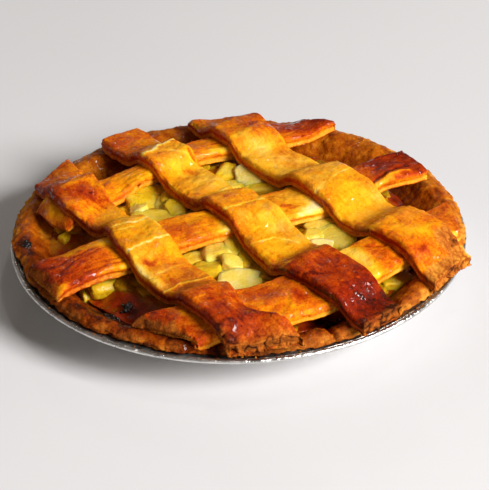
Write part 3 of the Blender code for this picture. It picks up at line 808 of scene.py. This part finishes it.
# Sugar boiled out of the juice and burnt to black beads, glossy with about 1 mm of unevenness: middle angle,
# radius, spread round and spread across in mm, and count.
BEAD_HALF = (0.4, 0.95)
BURNT_SPOTS = ((-132, 98.5, 6, 2.6, 90), (-130, 90, 2.6, 2.6, 40), (-172.5, 113, 4, 2.2, 42),
               (-61, 96, 5, 2, 20))
burnt, tree, shader = new_finish("burnt sugar")
place = add(tree, "ShaderNodeTexCoord")
cloud = add(tree, "ShaderNodeTexNoise", {"Vector": place.outputs["Object"], "Scale": 900})
shine = add(tree, "ShaderNodeMapRange", {0: cloud.outputs[0], 1: 0.3, 2: 0.7, 3: 0.06, 4: 0.25})
feed(tree, shader, {"Base Color": linear("#120B0A"), "Roughness": shine.outputs[0]})
spots, turns, sizes = [], [], []
for angle, reach, long_way, wide_way, count in BURNT_SPOTS:
    for _ in range(count):
        a = math.radians(angle) + chance.normal() * long_way * 0.5 / reach
        r = (reach + chance.normal() * wide_way * 0.5) * MM
        x, y = r * math.cos(a), r * math.sin(a)
        ground = [z for z in (drop(crust_tree, x, y), drop(filling_tree, x, y)) if math.isfinite(z)]
        spots.append((x, y, max(ground) - 0.2 * MM))
        turns.append(chance.uniform((0, 0, 0), (3, 3, 3)))
        sizes.append(np.full(3, chance.uniform(*BEAD_HALF)) * MM)
beads = scatter("burnt_juice_beads", spots, turns, sizes, {}, [round_cube("bead", 4, 2.2, (), 5)], burnt)
for piece in (syrup, apples, beads):
    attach(piece, "root")
    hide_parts("apple_filling")


# Lattice
# Six strips of the same pastry, cut by hand and laid over the apple: three across, then three long ones on
# top. Egg-washed and baked, so their tops run from pale gold to mahogany, while the cut walls stay dull and
# layered.

STRIP_GRAIN = 0.6 * MM          # fineness of a strip's mesh
STATION_GAP = 1.2 * MM          # a packed strip's heights are read this far apart along it
STATION_BLUR = 2.4              # and smoothed over this many stations
PLACES = np.linspace(-1.25, 1.25, 46)       # across it, a little past both edges
GROOVE_UP = 0.6                 # a groove runs this share of the way up a strip's walls
WALL_LAYERS = ((0.18, 0.25), (0.38, 0.35), (0.8, 0.2))     # finer ones: share of the way up, depth in mm
CREST_SHARE = 0.5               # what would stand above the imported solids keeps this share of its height

# How the oven browned the egg-washed strips, from raw dough to burnt.
OVEN = ((0.0, "#FAE6A8"), (0.15, "#FACB42"), (0.3, "#F8B20C"), (0.45, "#EC8F02"), (0.6, "#D36205"),
        (0.74, "#AC3603"), (0.87, "#7C1803"), (1.0, "#2A110C"))
# Each strip, from its first end to its last. Long strips start at the back left and have their front left edge
# at -1; cross strips start at the left and have their front right edge at -1. A spot is a share of the way
# along, a place across from -1 to 1, and a radius in mm. Of two ends, the first comes first.
#   browning  rows from end to end, each at the low edge, the middle and the high edge: 0 is raw, 1 is burnt.
#             Partly painted light and shade: some shaded spots are set paler, and others browner.
#   sides     how brown the cut walls are, at the two ends; on the long strips partly painted shade
#   bends     spots where the whole thickness is lifted or sunk, in mm; swells lift the top alone
#   puff_mm   how far the middle of the top stands up all along
#   hollows   spots where a wall is hollow under its top edge, in mm
#   pulls     spots moved along and across, in mm
#   longer_mm how far each end is pulled out, or cut short, at the low edge, the middle and the high edge
#   nose_mm   how far the top rounds down at the two ends
#   groove_mm depth of the groove along the walls
#   crumbly   how crumbly the two ends are, from 0 to 1
#   dry_mm    how far in from the two ends the brush missed
#   painted_sheen spots painted pale and dull as a painted sheen, and how strongly
#   marks     lines of places, their width in mm, browning added, and rise in mm
STRIPS = {
    "lattice_cross_back": {
        "painted_sheen": ((.5, -.6, 8, .3),),
        "puff_mm": 0.6,
        "swells": ((.0, .1, 6, 1.0),),
        "longer_mm": ((-3, -1, -2), (1, 1, 2)),
        "nose_mm": (6, 1),
        "sides": (.55, .34),
        "pulls": (),
        "groove_mm": 0.8,
        "bends": ((.0, -.9, 14, -1.2), (.03, .9, 8, 2), (.02, -.7, 6, 1.5), (.03, .1, 5, -1.5),
                  (.25, -1, 9, -1.4), (.33, -1, 7, 1.4), (.5, .5, 12, .8), (1.0, -.4, 12, 3.8),
                  (.93, .9, 9, -4), (.8, .9, 8, -1)),
        "browning": ((.66, .62, .6), (.64, .62, .58), (.54, .54, .6), (.44, .46, .52), (.42, .48, .55),
                     (.5, .52, .58), (.46, .52, .6), (.5, .55, .6), (.62, .68, .72), (.74, .76, .8),
                     (.82, .85, .86)),
        "crumbly": (0.1, 0.1),
        "dry_mm": (0, 0),
        "hollows": ((.33, -1.0, 4.5, 3.0),),
        "marks": (
            (((.24, -.7), (.3, -.62), (.37, -.72)), .7, -.12, -.5),
            (((.25, -.35), (.31, -.28), (.38, -.4)), .6, -.1, -.3), (((.03, .3), (.06, -.2)), 5, -.12, 1.2),
            (((.02, -.7), (.08, -.8)), 3, .1, .8), (((.6, -.6), (.65, -.75)), 2.5, -.25, .8),
            (((.62, .1), (.66, -.1)), .6, .2, -.5), (((.84, -.6), (.9, -.3), (.97, .2)), .7, -.2, -.4),
        ),
    },
    "lattice_cross_middle": {
        "painted_sheen": ((.66, -.8, 8, .6), (.455, -.6, 5, .5), (.9, -.75, 7, .4), (.64, .5, 9, .3),
                  (.22, .3, 7, .3)),
        "puff_mm": 0.6,
        "swells": ((.07, 0, 11, 1.0),),
        "longer_mm": ((0, 2, 4), (3, 4, 5)),
        "nose_mm": (5, .5),
        "sides": (.62, .3),
        "pulls": ((.87, -1, 10, 0, 4),),
        "groove_mm": 0.9,
        "bends": ((.0, -1, 10, -2.5), (.13, .2, 14, 1.6), (.4, 0, 12, .8), (.62, -.2, 12, .8),
                  (.92, -.6, 12, 2.5), (.95, .8, 8, .8)),
        "browning": ((.78, .8, .8), (.64, .7, .64), (.44, .54, .46), (.54, .6, .52), (.5, .54, .48),
                     (.46, .48, .42), (.38, .4, .44), (.2, .34, .42), (.5, .5, .5), (.76, .82, .84),
                     (.78, .86, .86)),
        "crumbly": (0.25, 0.1),
        "dry_mm": (3, 0),
        "hollows": ((.13, -1.0, 8, 1.0),),
        "marks": (
            (((.03, -.78), (.1, -.72), (.19, -.78)), .8, .1, -.7),
            (((.05, -.5), (.12, -.48), (.18, -.55)), .6, .08, -.4),
            (((.015, -.6), (.03, -.8)), 2.5, -.35, .3), (((.08, .6), (.18, .5), (.2, -.2)), 3.5, -.22, 0),
            (((.43, -.85), (.455, -.4)), 3.5, -.3, .3), (((.36, -.3), (.42, -.25)), .5, -.1, -.2),
            (((.37, -.6), (.43, -.55)), .5, -.12, -.25), (((.37, .2), (.44, .3)), .5, -.1, -.2),
            (((.6, .75), (.66, .9)), 4, .12, 0), (((.61, -.35), (.65, -.55)), 3, .2, 0),
            (((.61, .3), (.63, -.4), (.66, -.7)), .7, -.2, -.3), (((.65, -.9), (.69, -.6)), 5, -.28, .4),
            (((.83, -.76), (.89, -.62), (.96, -.72)), 1.5, -.3, .9),
            (((.84, -.5), (.9, -.38), (.97, -.46)), 1.0, .12, -.8),
            (((.02, .3), (.09, .2), (.14, .4)), .8, .2, -.2), (((.04, -.1), (.1, 0), (.15, .1)), .7, .2, -.2),
            (((.05, -.4), (.1, -.2)), .7, .18, -.2), (((.0, -.75), (.015, -.95)), 2.2, -.4, .2),
        ),
    },
    "lattice_cross_front": {
        "painted_sheen": ((.66, 0, 6, .5), (.95, -.3, 10, .3)),
        "puff_mm": 0.6,
        "swells": ((.7, .3, 10, 1),),
        "longer_mm": ((-3, -6, -9), (5, 8, 10)),
        "nose_mm": (4, 1),
        "sides": (.62, .3),
        "pulls": (),
        "groove_mm": 0.35,
        "bends": ((.0, 0, 15, -3.6), (.13, -1, 12, -2.2), (.43, 0, 14, 1.6), (.7, .2, 12, 1),
                  (.78, -1, 7, -1.4)),
        "browning": ((.74, .76, .78), (.7, .74, .76), (.7, .66, .66), (.42, .62, .62), (.5, .68, .64),
                     (.62, .66, .6), (.4, .4, .4), (.55, .6, .5), (.6, .64, .55), (.56, .58, .6),
                     (.6, .62, .64)),
        "crumbly": (0.25, 0.3),
        "dry_mm": (4, 1),
        "hollows": (),
        "marks": (
            (((.13, .9), (.17, 0), (.2, -.8)), 2, -.14, 0),
            (((.02, -.2), (.1, -.3), (.16, -.6)), .8, .06, -.5), (((.04, -.5), (.1, -.6)), .8, .08, -.6),
            (((.43, -.2), (.44, -.5)), 2.5, .16, 0), (((.4, .9), (.42, .2), (.4, -.6)), 3, -.12, 0),
            (((.65, .8), (.67, 0), (.66, -.8)), 4, -.3, .3), (((.7, .4), (.74, .1), (.8, .2)), 1.4, .12, -.4),
            (((.69, -.75), (.75, -.8)), .8, .1, -.5),
        ),
    },
    "lattice_long_left": {
        "painted_sheen": ((.42, 0, 9, .3), (.55, -.2, 8, .2), (.61, -.95, 7, .6), (.68, -.9, 6, .6), (.7, .3, 8, .4),
                  (.74, -.8, 6, .4)),
        "puff_mm": 0.2,
        "swells": ((.985, .7, 6, 1.5),),
        "longer_mm": ((0, 0, 0), (8, 7, 7)),
        "nose_mm": (2, .5),
        "sides": (.72, .88),
        "pulls": ((.35, -1, 13, 0, 5), (.43, -1, 12, 0, 4), (.89, 1, 14, 0, -7)),
        "groove_mm": 0.3,
        "bends": ((.01, -.3, 14, -2.2), (.15, .9, 6, -2), (.2, .9, 6, 1.6), (.2, 0, 9, 1.2),
                  (.28, .1, 10, -2), (.46, -.3, 10, .8), (.72, .4, 10, 1.6), (.98, .7, 7, 1.2),
                  (.97, -.2, 6, -1.6), (.89, 1, 13, -3.6)),
        "browning": ((.76, .64, .6), (.8, .6, .54), (.76, .6, .5), (.6, .46, .48), (.5, .34, .36),
                     (.5, .38, .4), (.34, .46, .44), (.5, .58, .5), (.7, .62, .6), (.84, .8, .76),
                     (.68, .66, .66)),
        "crumbly": (0.1, 1.0),
        "dry_mm": (0, 1),
        "hollows": (),
        "marks": (
            (((.19, -.5), (.2, .4)), 2.5, -.1, .6), (((.24, -.1), (.26, .2), (.28, .4)), 6, .26, -.6),
            (((.25, .05), (.31, .45)), .6, .14, -.4), (((.26, -.15), (.33, .25)), .6, .12, -.4),
            (((.255, .3), (.3, .75)), .6, .12, -.4), (((.27, -.35), (.33, 0)), .6, .1, -.3),
            (((.435, -.95), (.44, -.3), (.46, .3), (.45, .95)), .8, -.5, -.3),
            (((.45, -.85), (.475, .1)), .5, -.36, -.25),
            (((.54, -.95), (.54, -.45), (.55, .1), (.55, .95)), .8, -.55, -.3),
            (((.53, -.95), (.56, -.85)), 2, -.14, .2), (((.63, -.5), (.64, .5)), .6, -.34, -.3),
            (((.58, -.95), (.62, -.9), (.67, -.9)), 2.8, -.26, .4),
            (((.588, -.5), (.592, -.42)), 3, .32, -.2),
            (((.7, -.95), (.7, -.3), (.72, .3), (.73, .95)), 1.0, -.3, .4),
            (((.81, -.9), (.81, -.4)), .5, -.26, -.25), (((.83, .15), (.84, .7)), .5, -.26, -.25),
            (((.86, -.3), (.93, -.2)), 1.2, .1, -.4), (((.85, .3), (.92, .35)), 1.2, .08, -.3),
        ),
    },
    "lattice_long_middle": {
        "painted_sheen": ((.22, -.1, 8, .5), (.36, .3, 12, .4), (.45, -.5, 10, .3), (.57, -.5, 6, .35),
                  (.62, .6, 8, .4), (.68, .8, 8, .4)),
        "puff_mm": 0.2,
        "swells": (),
        "longer_mm": ((0, 0, 0), (6.5, 6, 7.5)),
        "nose_mm": (2, .5),
        "sides": (.6, .86),
        "pulls": (),
        "groove_mm": 0.3,
        "bends": ((.0, 0, 12, .6), (.18, .7, 10, -1.8), (.29, 0, 9, -1.4), (.25, .95, 6, 1), (.5, 0, 10, .8),
                  (.78, -.2, 9, 1), (.98, 0, 8, -1)),
        "browning": ((.66, .62, .62), (.6, .56, .54), (.5, .4, .38), (.46, .36, .36), (.48, .34, .28),
                     (.54, .48, .46), (.5, .4, .32), (.4, .36, .32), (.76, .74, .72), (.82, .82, .8),
                     (.9, .93, .9)),
        "crumbly": (0.15, 0.6),
        "dry_mm": (0, 2.5),
        "hollows": (),
        "marks": (
            (((.2, -.95), (.2, -.6), (.18, .1), (.17, .85)), 1.3, -.4, .5),
            (((.22, .1), (.25, .6), (.3, .9)), .6, -.28, -.35), (((.265, -.1), (.28, 0)), 3, -.06, -.6),
            (((.3, 0), (.31, .15)), 2.5, -.06, -.6), (((.285, .25), (.31, .35)), 2.6, .2, -.3),
            (((.43, -.9), (.42, 0), (.41, .6)), 1.0, -.22, .3), (((.24, .75), (.28, .85)), 1.2, .25, -1.0),
            (((.46, -.9), (.465, 0), (.47, .9)), .7, .1, -.2),
            (((.53, -.95), (.54, -.05), (.55, .95)), .8, -.5, -.3),
            (((.65, -.9), (.66, 0), (.7, .5)), .6, -.46, -.3), (((.6, .1), (.62, .2)), 3.5, -.1, .5),
            (((.77, -.95), (.765, 0), (.77, .95)), .9, .14, -.2), (((.89, -.86), (.885, -.74)), .6, -.3, .3),
            (((.84, -.29), (.841, -.28)), .7, -.3, .3), (((.91, -.22), (.911, -.21)), .7, -.3, .3),
            (((.92, .3), (.921, .31)), .7, -.3, .3), (((.965, .1), (.99, .8)), 5, .1, -.6),
        ),
    },
    "lattice_long_right": {
        "painted_sheen": ((.27, -.3, 10, .45), (.36, .3, 12, .55), (.47, 0, 12, .55), (.49, .8, 9, .4),
                  (.56, -.7, 7, .4), (.66, .9, 8, .6), (.7, -.3, 7, .35), (.82, .1, 9, .4)),
        "puff_mm": 0.2,
        "swells": (),
        "longer_mm": ((0, 0, 0), (2, 2, 2.5)),
        "nose_mm": (2, .5),
        "sides": (.62, .8),
        "pulls": (),
        "groove_mm": 0.3,
        "bends": ((.02, 0, 12, -1.2), (.23, 0, 9, 1), (.42, .2, 10, -1.2), (.57, 0, 9, .8), (.7, -.4, 8, -1),
                  (.8, .2, 9, 1), (.98, -.6, 8, -1.5)),
        "browning": ((.56, .58, .62), (.5, .6, .68), (.46, .64, .72), (.3, .32, .56), (.34, .3, .32),
                     (.42, .38, .42), (.46, .4, .42), (.4, .36, .38), (.52, .5, .5), (.58, .6, .62),
                     (.54, .52, .52)),
        "crumbly": (0.2, 0.8),
        "dry_mm": (0, 8.5),
        "hollows": ((.73, -1.0, 7, 0.8),),
        "marks": (
            (((.22, -.95), (.235, -.3), (.22, .3), (.2, .9)), 1.6, -.12, 0),
            (((.26, -.4), (.3, 0)), 4, -.08, .4), (((.33, .3), (.36, .5)), 5, .14, 0),
            (((.39, 0), (.42, .2)), 5, .12, -.3), (((.45, .5), (.47, .7)), 5, .1, 0),
            (((.58, -.95), (.565, .0), (.55, .9)), .8, -.36, -.3), (((.585, -.95), (.58, -.3)), .6, -.2, -.3),
            (((.46, -.8), (.48, .8)), 1.0, .08, -.25), (((.77, -.9), (.78, 0), (.76, .9)), 1.0, .12, -.3),
            (((.86, -.3), (.88, .3)), 5, -.18, .3), (((.9, 0), (.93, .5)), 4, .06, -.3),
            (((.91, -.7), (.94, -.3)), 3, .06, .4),
        ),
    },
}


def keep_largest(mesh):
    """Leaves only the largest closed shell of a mesh, without any speck or bubble beside it."""
    shape = bmesh.new()
    shape.from_mesh(mesh)
    left = set(shape.verts)
    shells = []
    while left:
        front = [left.pop()]
        shell = list(front)
        while front:
            here = front.pop()
            around = {edge.other_vert(here) for edge in here.link_edges} & left
            left -= around
            front += around
            shell += around
        shells.append(shell)
    shells.sort(key=len)
    for shell in shells[:-1]:
        bmesh.ops.delete(shape, geom=shell, context="VERTS")
    shape.to_mesh(mesh)
    shape.free()


def fine_copy(node, grain, rounding):
    """A close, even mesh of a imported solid, its edges softened."""
    obj = bpy.data.objects.new(node + "_fine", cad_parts[node].data.copy())
    scene.collection.objects.link(obj)
    weld = obj.modifiers.new("weld", "WELD")
    weld.merge_threshold = 0.01 * MM
    even = obj.modifiers.new("even", "REMESH")
    even.mode, even.voxel_size = "VOXEL", grain
    soft = obj.modifiers.new("soft", "SMOOTH")
    soft.factor, soft.iterations = 0.5, rounding
    mesh = bpy.data.meshes.new_from_object(obj.evaluated_get(bpy.context.evaluated_depsgraph_get()))
    bpy.data.objects.remove(obj)
    keep_largest(mesh)
    return mesh


class StripPlan:
    """A strip's own directions, read from its solid: how far along it and across it each point lies."""

    def __init__(self, plan):
        self.middle = plan.mean(0)
        self.along = np.linalg.eigh(np.cov((plan - self.middle).T))[1][:, 1]
        if self.along[0] < 0:
            self.along = -self.along
        self.across = np.array([-self.along[1], self.along[0]])
        reach = (plan - self.middle) @ self.along
        aside = (plan - self.middle) @ self.across
        self.start, self.length = reach.min(), np.ptp(reach)
        share = (reach - self.start) / self.length
        stations = np.linspace(0.12, 0.88, 20)
        spans = [aside[np.abs(share - s) < 0.03] for s in stations]
        self.centre = np.polyfit(stations, [(span.max() + span.min()) / 2 for span in spans], 3)
        self.half = np.polyfit(stations, [np.ptp(span) / 2 for span in spans], 2)

    def locate(self, plan):
        """Share along, place across from -1 to 1, and half the width, for some plan points."""
        share = ((plan - self.middle) @ self.along - self.start) / self.length
        half = np.polyval(self.half, share)
        return share, ((plan - self.middle) @ self.across - np.polyval(self.centre, share)) / half, half

    def point(self, share, place):
        """The plan point at a share along and a place across."""
        aside = np.polyval(self.centre, share) + place * np.polyval(self.half, share)
        onward = self.start + share * self.length
        return self.middle + np.multiply.outer(onward, self.along) + np.multiply.outer(aside, self.across)

    def nearness(self, points, share, place, size, fall=2):
        """From 0 to 1, how near points are to a spot on the strip whose radius is `size` in mm."""
        far = np.linalg.norm(points[:, :2] - self.point(share, place), axis=1)
        return np.exp(-(far / (size * MM)) ** fall)


def line_distance(plan, line):
    """Distance of plan points from a line through some points."""
    nearest = np.full(len(plan), np.inf)
    for a, b in zip(line, line[1:]):
        run = b - a
        t = np.clip((plan - a) @ run / max(run @ run, 1e-12), 0, 1)
        nearest = np.minimum(nearest, np.linalg.norm(plan - a - t[:, None] * run, axis=1))
    return nearest


def heights_of(tree, plan_of_strip):
    """Top and bottom of a strip on a grid along and across it, as packed and smoothed along it."""
    stations = np.linspace(0, 1, int(plan_of_strip.length / STATION_GAP))
    maps = []
    for up in (False, True):
        grid = np.array([[drop(tree, *plan_of_strip.point(s, v), up=up) for v in PLACES] for s in stations])
        maps.append(grid)
    known = np.isfinite(maps[0]) & np.isfinite(maps[1])
    good = np.flatnonzero(known.sum(1) > 3)
    for k, grid in enumerate(maps):
        for i in good:
            grid[i] = np.interp(PLACES, PLACES[known[i]], grid[i, known[i]])
        for i in range(len(stations)):
            if i not in good:
                grid[i] = grid[good[np.abs(good - i).argmin()]]
        maps[k] = (grid, blur(grid, STATION_BLUR, 0))
    return maps


def sample(grid, share, place):
    """Heights on such a grid, between its points."""
    i = np.clip(share * (len(grid) - 1), 0, len(grid) - 1.001)
    j = np.clip((place - PLACES[0]) / (PLACES[1] - PLACES[0]), 0, len(PLACES) - 1.001)
    a, b = i.astype(int), j.astype(int)
    u, v = i - a, j - b
    before = grid[a, b] * (1 - v) + grid[a, b + 1] * v
    after = grid[a + 1, b] * (1 - v) + grid[a + 1, b + 1] * v
    return before * (1 - u) + after * u


glazed = pastry_finish("egg-glazed shortcrust", 0.95, 1.0, OVEN)
crest = cad_box[1][2]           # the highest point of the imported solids
meshes = {name: fine_copy(name, STRIP_GRAIN, 3) for name in STRIPS}
plans = {name: StripPlan(read_points(mesh)[:, :2]) for name, mesh in meshes.items()}
for number, (name, strip) in enumerate(STRIPS.items()):
    mesh, laid = meshes[name], plans[name]

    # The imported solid's heights, smoothed along the strip, so that no step of its rough mesh is left.
    points = read_points(mesh)
    share, place, half = laid.locate(points[:, :2])
    (top_raw, top_soft), (bottom_raw, bottom_soft) = heights_of(solid_tree(name), laid)
    top, bottom = sample(top_raw, share, place), sample(bottom_raw, share, place)
    up = np.clip((points[:, 2] - bottom) / np.maximum(top - bottom, 1 * MM), -0.1, 1.1)
    top, bottom = sample(top_soft, share, place), sample(bottom_soft, share, place)
    points[:, 2] = bottom + up * (top - bottom)
    move_points(mesh, points)

    # Where each point is: on the top or a wall, how far from an edge, and how far from the strip's cut ends.
    normals = read_normals(mesh)
    across = np.clip(place, -1, 1)
    low, middle, high = across * (across - 1) / 2, 1 - across * across, across * (across + 1) / 2
    facing = smooth_step((normals[:, 2] - 0.25) / 0.45)
    wall = 1 - smooth_step((np.abs(normals[:, 2]) - 0.3) / 0.4)
    edge_gap = (1 - np.abs(place)) * half
    facing_end = np.abs(normals[:, :2] @ laid.along) * (np.abs(normals[:, 2]) < 0.75) > 0.75
    cut_ends = points[facing_end & (np.abs(share - 0.5) > 0.4), :2]
    cut_ends = cut_ends[::max(1, len(cut_ends) // 500)]
    near_end = np.flatnonzero(np.abs(share - 0.5) > 0.3)
    end_gap = np.full(len(points), 0.1)
    end_gap[near_end] = np.linalg.norm(points[near_end, None, :2] - cut_ends[None], axis=2).min(1)
    crumbly = np.interp(share, (0.4, 0.6), strip["crumbly"])
    at_end = np.exp(-end_gap / (3.2 * MM))

    # Hand-cut edges wave a little, and the egg-washed top sinks at its edges with a low lip here and there.
    seed = 50 + 10 * number
    flat = points * (1, 1, 0)
    sway = 1.2 * wander(flat, 24 * MM, seed) + 0.6 * wander(flat, 9 * MM, seed + 1)
    sway *= MM * across * smooth_step(np.abs(place) * 1.5)
    points[:, :2] += np.multiply.outer(sway, laid.across)
    points[:, 2] -= 0.45 * MM * smooth_step(1 - edge_gap / (4 * MM)) ** 1.5 * up
    lip_rise = np.exp(-((edge_gap - 0.6 * MM) / (0.9 * MM)) ** 2) * (0.4 + wander(points, 13 * MM, seed + 26))
    points[:, 2] += 0.6 * MM * np.clip(lip_rise, 0, 1) * up
    points[:, 2] += 0.9 * MM * wander(points * (1, 1, 0), 16 * MM, seed + 19) * across ** 2

    # The strip is stretched at its ends, pulled, rounded down, bent and puffed up as it was laid and baked.
    ends = [np.array(end) @ (low, middle, high) for end in strip["longer_mm"]]
    pull = ends[1] * smooth_step((share - 0.78) / 0.22) - ends[0] * smooth_step((0.22 - share) / 0.22)
    points[:, :2] += np.multiply.outer(pull * MM, laid.along)
    for *spot, onward, sideways in strip["pulls"]:
        near = laid.nearness(points, *spot)
        points[:, :2] += np.multiply.outer(near * MM, onward * laid.along + sideways * laid.across)
    nose = np.interp(share, (0.4, 0.6), strip["nose_mm"]) + 0.01
    points[:, 2] -= nose * MM * np.clip(1 - end_gap / (1.2 * nose * MM), 0, 1) ** 2 * up
    for *spot, lift in strip["bends"]:
        points[:, 2] += lift * MM * laid.nearness(points, *spot)
    for *spot, lift in strip["swells"]:
        points[:, 2] += lift * MM * laid.nearness(points, *spot) * up
    points[:, 2] += strip["puff_mm"] * MM * (1 - across ** 2) * up

    # Rise, in mm out from the surface: a wavy, blistered top, and flaky, layered, undercut walls that crack
    # and crumble at the ends.
    rise = facing * (0.8 * wander(points, 17 * MM, seed + 2) + 0.45 * wander(points, 7 * MM, seed + 3))
    rise += 0.22 * wander(points, 3.2 * MM, seed + 4) + 0.12 * wander(points, 1.6 * MM, seed + 20)
    blister = facing * np.clip(wander(points, 4 * MM, seed + 15) - 0.5, 0, 1)
    rise += 0.9 * blister
    layer_wave = 0.07 * wander(points, 12 * MM, seed + 5)
    groove = wall * np.exp(-((up - GROOVE_UP - layer_wave) / 0.09) ** 2)
    rise -= groove * strip["groove_mm"]
    for height_up, depth in WALL_LAYERS:
        rise -= wall * depth * np.exp(-((up - height_up - layer_wave) / 0.06) ** 2)
    for *spot, depth in strip["hollows"]:
        rise -= wall * depth * laid.nearness(points, *spot, fall=4) * smooth_step((0.85 - up) / 0.15)
    rise += wall * (0.25 * wander(points * (1, 1, 2.6), 2.6 * MM, seed + 6) - 0.5 * (1 - up))
    bits = 1.9 * np.abs(wander(points, 3.6 * MM, seed + 7)) + 0.9 * np.abs(wander(points, 1.8 * MM, seed + 8))
    crack = np.exp(-(wander(points, 3.4 * MM, seed + 24) / 0.16) ** 2) * at_end * np.clip(crumbly, 0, 0.8)
    rise -= at_end * crumbly * (0.3 + bits) * np.clip(wall + 0.3, 0, 1) + 0.6 * crack

    # Browning: the oven's slow changes, then each mark's own line or spot, with edges that wander.
    table = np.array(strip["browning"])
    steps = np.linspace(0, 1, len(table))
    warped = share + 0.02 * wander(points, 10 * MM, seed + 9)
    browning = sum(np.interp(warped, steps, table[:, k]) * part for k, part in enumerate((low, middle, high)))
    warp = np.column_stack([wander(points, 5 * MM, seed + 10 + k) for k in range(2)]) * 0.9 * MM
    warp += np.column_stack([wander(points, 1.8 * MM, seed + 21 + k) for k in range(2)]) * 0.45 * MM
    broken = 0.6 + 0.4 * wander(points, 3 * MM, seed + 23)
    for line, width, change, lift in strip["marks"]:
        path = [laid.point(s, p) for s, p in line]
        near = np.exp(-(line_distance(points[:, :2] + warp, path) / (width * MM)) ** 2)
        near *= np.clip(facing * 1.5, 0, 1) * (broken if width < 1 else 1)
        browning += change * near
        rise += lift * near
    browning += 0.05 * wander(points, 8 * MM, seed + 12) + 0.05 * wander(points, 3.5 * MM, seed + 13)
    browning += 0.06 * np.exp(-(edge_gap / (2.2 * MM)) ** 2) * facing + 0.25 * blister
    # Pale edges: partly where the brush missed them, partly painted highlight where the cut edges catch the
    # light.
    unglazed_and_lit_edge = smooth_step(0.25 + 1.6 * wander(points, 6 * MM, seed + 16))
    unglazed_and_lit_edge *= np.exp(-(np.clip(edge_gap, 0, 1) / (1.2 * MM)) ** 2)
    browning -= 0.36 * unglazed_and_lit_edge * facing
    # The cut walls' own brown, browner up top; the groove's darkening is painted shade, and so is part of the
    # long strips' wall brown.
    side_brown_and_shade = np.interp(share, (0, 1), strip["sides"]) - 0.12 + 0.24 * smooth_step((up - 0.35) / 0.3)
    side_brown_and_shade += 0.1 * groove + 0.06 * wander(points, 7 * MM, seed + 17)
    browning += wall * (0.35 * browning + 0.65 * side_brown_and_shade - browning)

    # A cross strip stays paler in the shelter of the long ones over it.
    if name.startswith("lattice_cross"):
        for other, over in plans.items():
            if other.startswith("lattice_long"):
                far, aside, breadth = over.locate(points[:, :2])
                gap = np.clip((np.abs(aside) - 1) * breadth, 0, None) + np.where((far < 0) | (far > 1), 1, 0)
                patchy = 1 + 0.6 * wander(points, 6 * MM, seed + 14)
                browning -= 0.06 * np.exp(-(gap / (3.5 * MM)) ** 2) * patchy

    # Dryness: bare dough low on the walls and at crumbly or missed ends, and spots painted pale and dull as
    # painted sheen.
    dry_reach = np.interp(share, (0.4, 0.6), strip["dry_mm"]) * MM
    bare_end = smooth_step((dry_reach - end_gap + 2.5 * MM * wander(points, 5 * MM, seed + 18)) / (2 * MM))
    dryness_and_sheen = 0.06 + wall * 0.5 * smooth_step(1.2 - up * 1.6) + np.maximum(at_end * crumbly, 0.9 * bare_end)
    # Spots painted pale and dull as a painted sheen.
    for *spot, amount in strip["painted_sheen"]:
        patchy = 0.75 + 0.6 * wander(points, 4 * MM, seed + 25)
        dryness_and_sheen += amount * laid.nearness(points, *spot) * facing * patchy

    # Crumbled ends are all nearer one middling brown, and darker in their cracks as painted shade.
    browning = browning * (1 - 0.5 * at_end * crumbly) + 0.3 * at_end * crumbly + 0.35 * crack

    points += normals * (rise * MM)[:, None]
    points[:, 2] = np.minimum(points[:, 2], crest + CREST_SHARE * (points[:, 2] - crest))
    move_points(mesh, points)
    set_layer(mesh, "browning", np.clip(browning, 0, 1))
    set_layer(mesh, "dryness_and_sheen", np.clip(dryness_and_sheen, 0, 1))
    set_layer(mesh, "lay", np.column_stack((share * laid.length, place * half, points[:, 2])))
    mesh.materials.clear()
    mesh.materials.append(glazed)
    mesh.shade_smooth()
    baked_strip = bpy.data.objects.new(name.replace("lattice", "pastry_strip"), mesh)
    scene.collection.objects.link(baked_strip)
    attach(baked_strip, "root")
    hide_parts(name)


# Crumbs
# Flakes of the rim's own shortcrust, broken from its torn front edge as the pie was lifted out and cooled.
# They lie loose on the tin's flange.

CRUMBS = 90
CRUMB_HALF = ((0.25, 0.2, 0.15), (0.8, 0.6, 0.4))       # least and greatest half size, in mm
spots, turns, sizes = [], [], []
for _ in range(CRUMBS):
    a = math.radians(chance.normal(-80, 34))
    r = chance.uniform(116.5, 120.8) * MM
    half = chance.uniform(*CRUMB_HALF) * MM
    spots.append((r * math.cos(a), r * math.sin(a), flange_height + half[2] * 0.6))
    turns.append(chance.uniform((-0.5, -0.5, 0), (0.5, 0.5, 6.28)))
    sizes.append(half)
baked = {"browning": chance.uniform(0.5, 1.0, CRUMBS), "dryness_and_sheen": np.full(CRUMBS, 0.9)}
shapes = [round_cube("flake_a", 3, 5, (((1, 1, 1), 0.7),), 3),
          round_cube("flake_b", 3, 4, (((1, -1, 0.4), 0.6),), 8)]
flakes = scatter("pastry_crumbs", spots, turns, sizes, baked, shapes, crust_finish)
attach(flakes, "root")
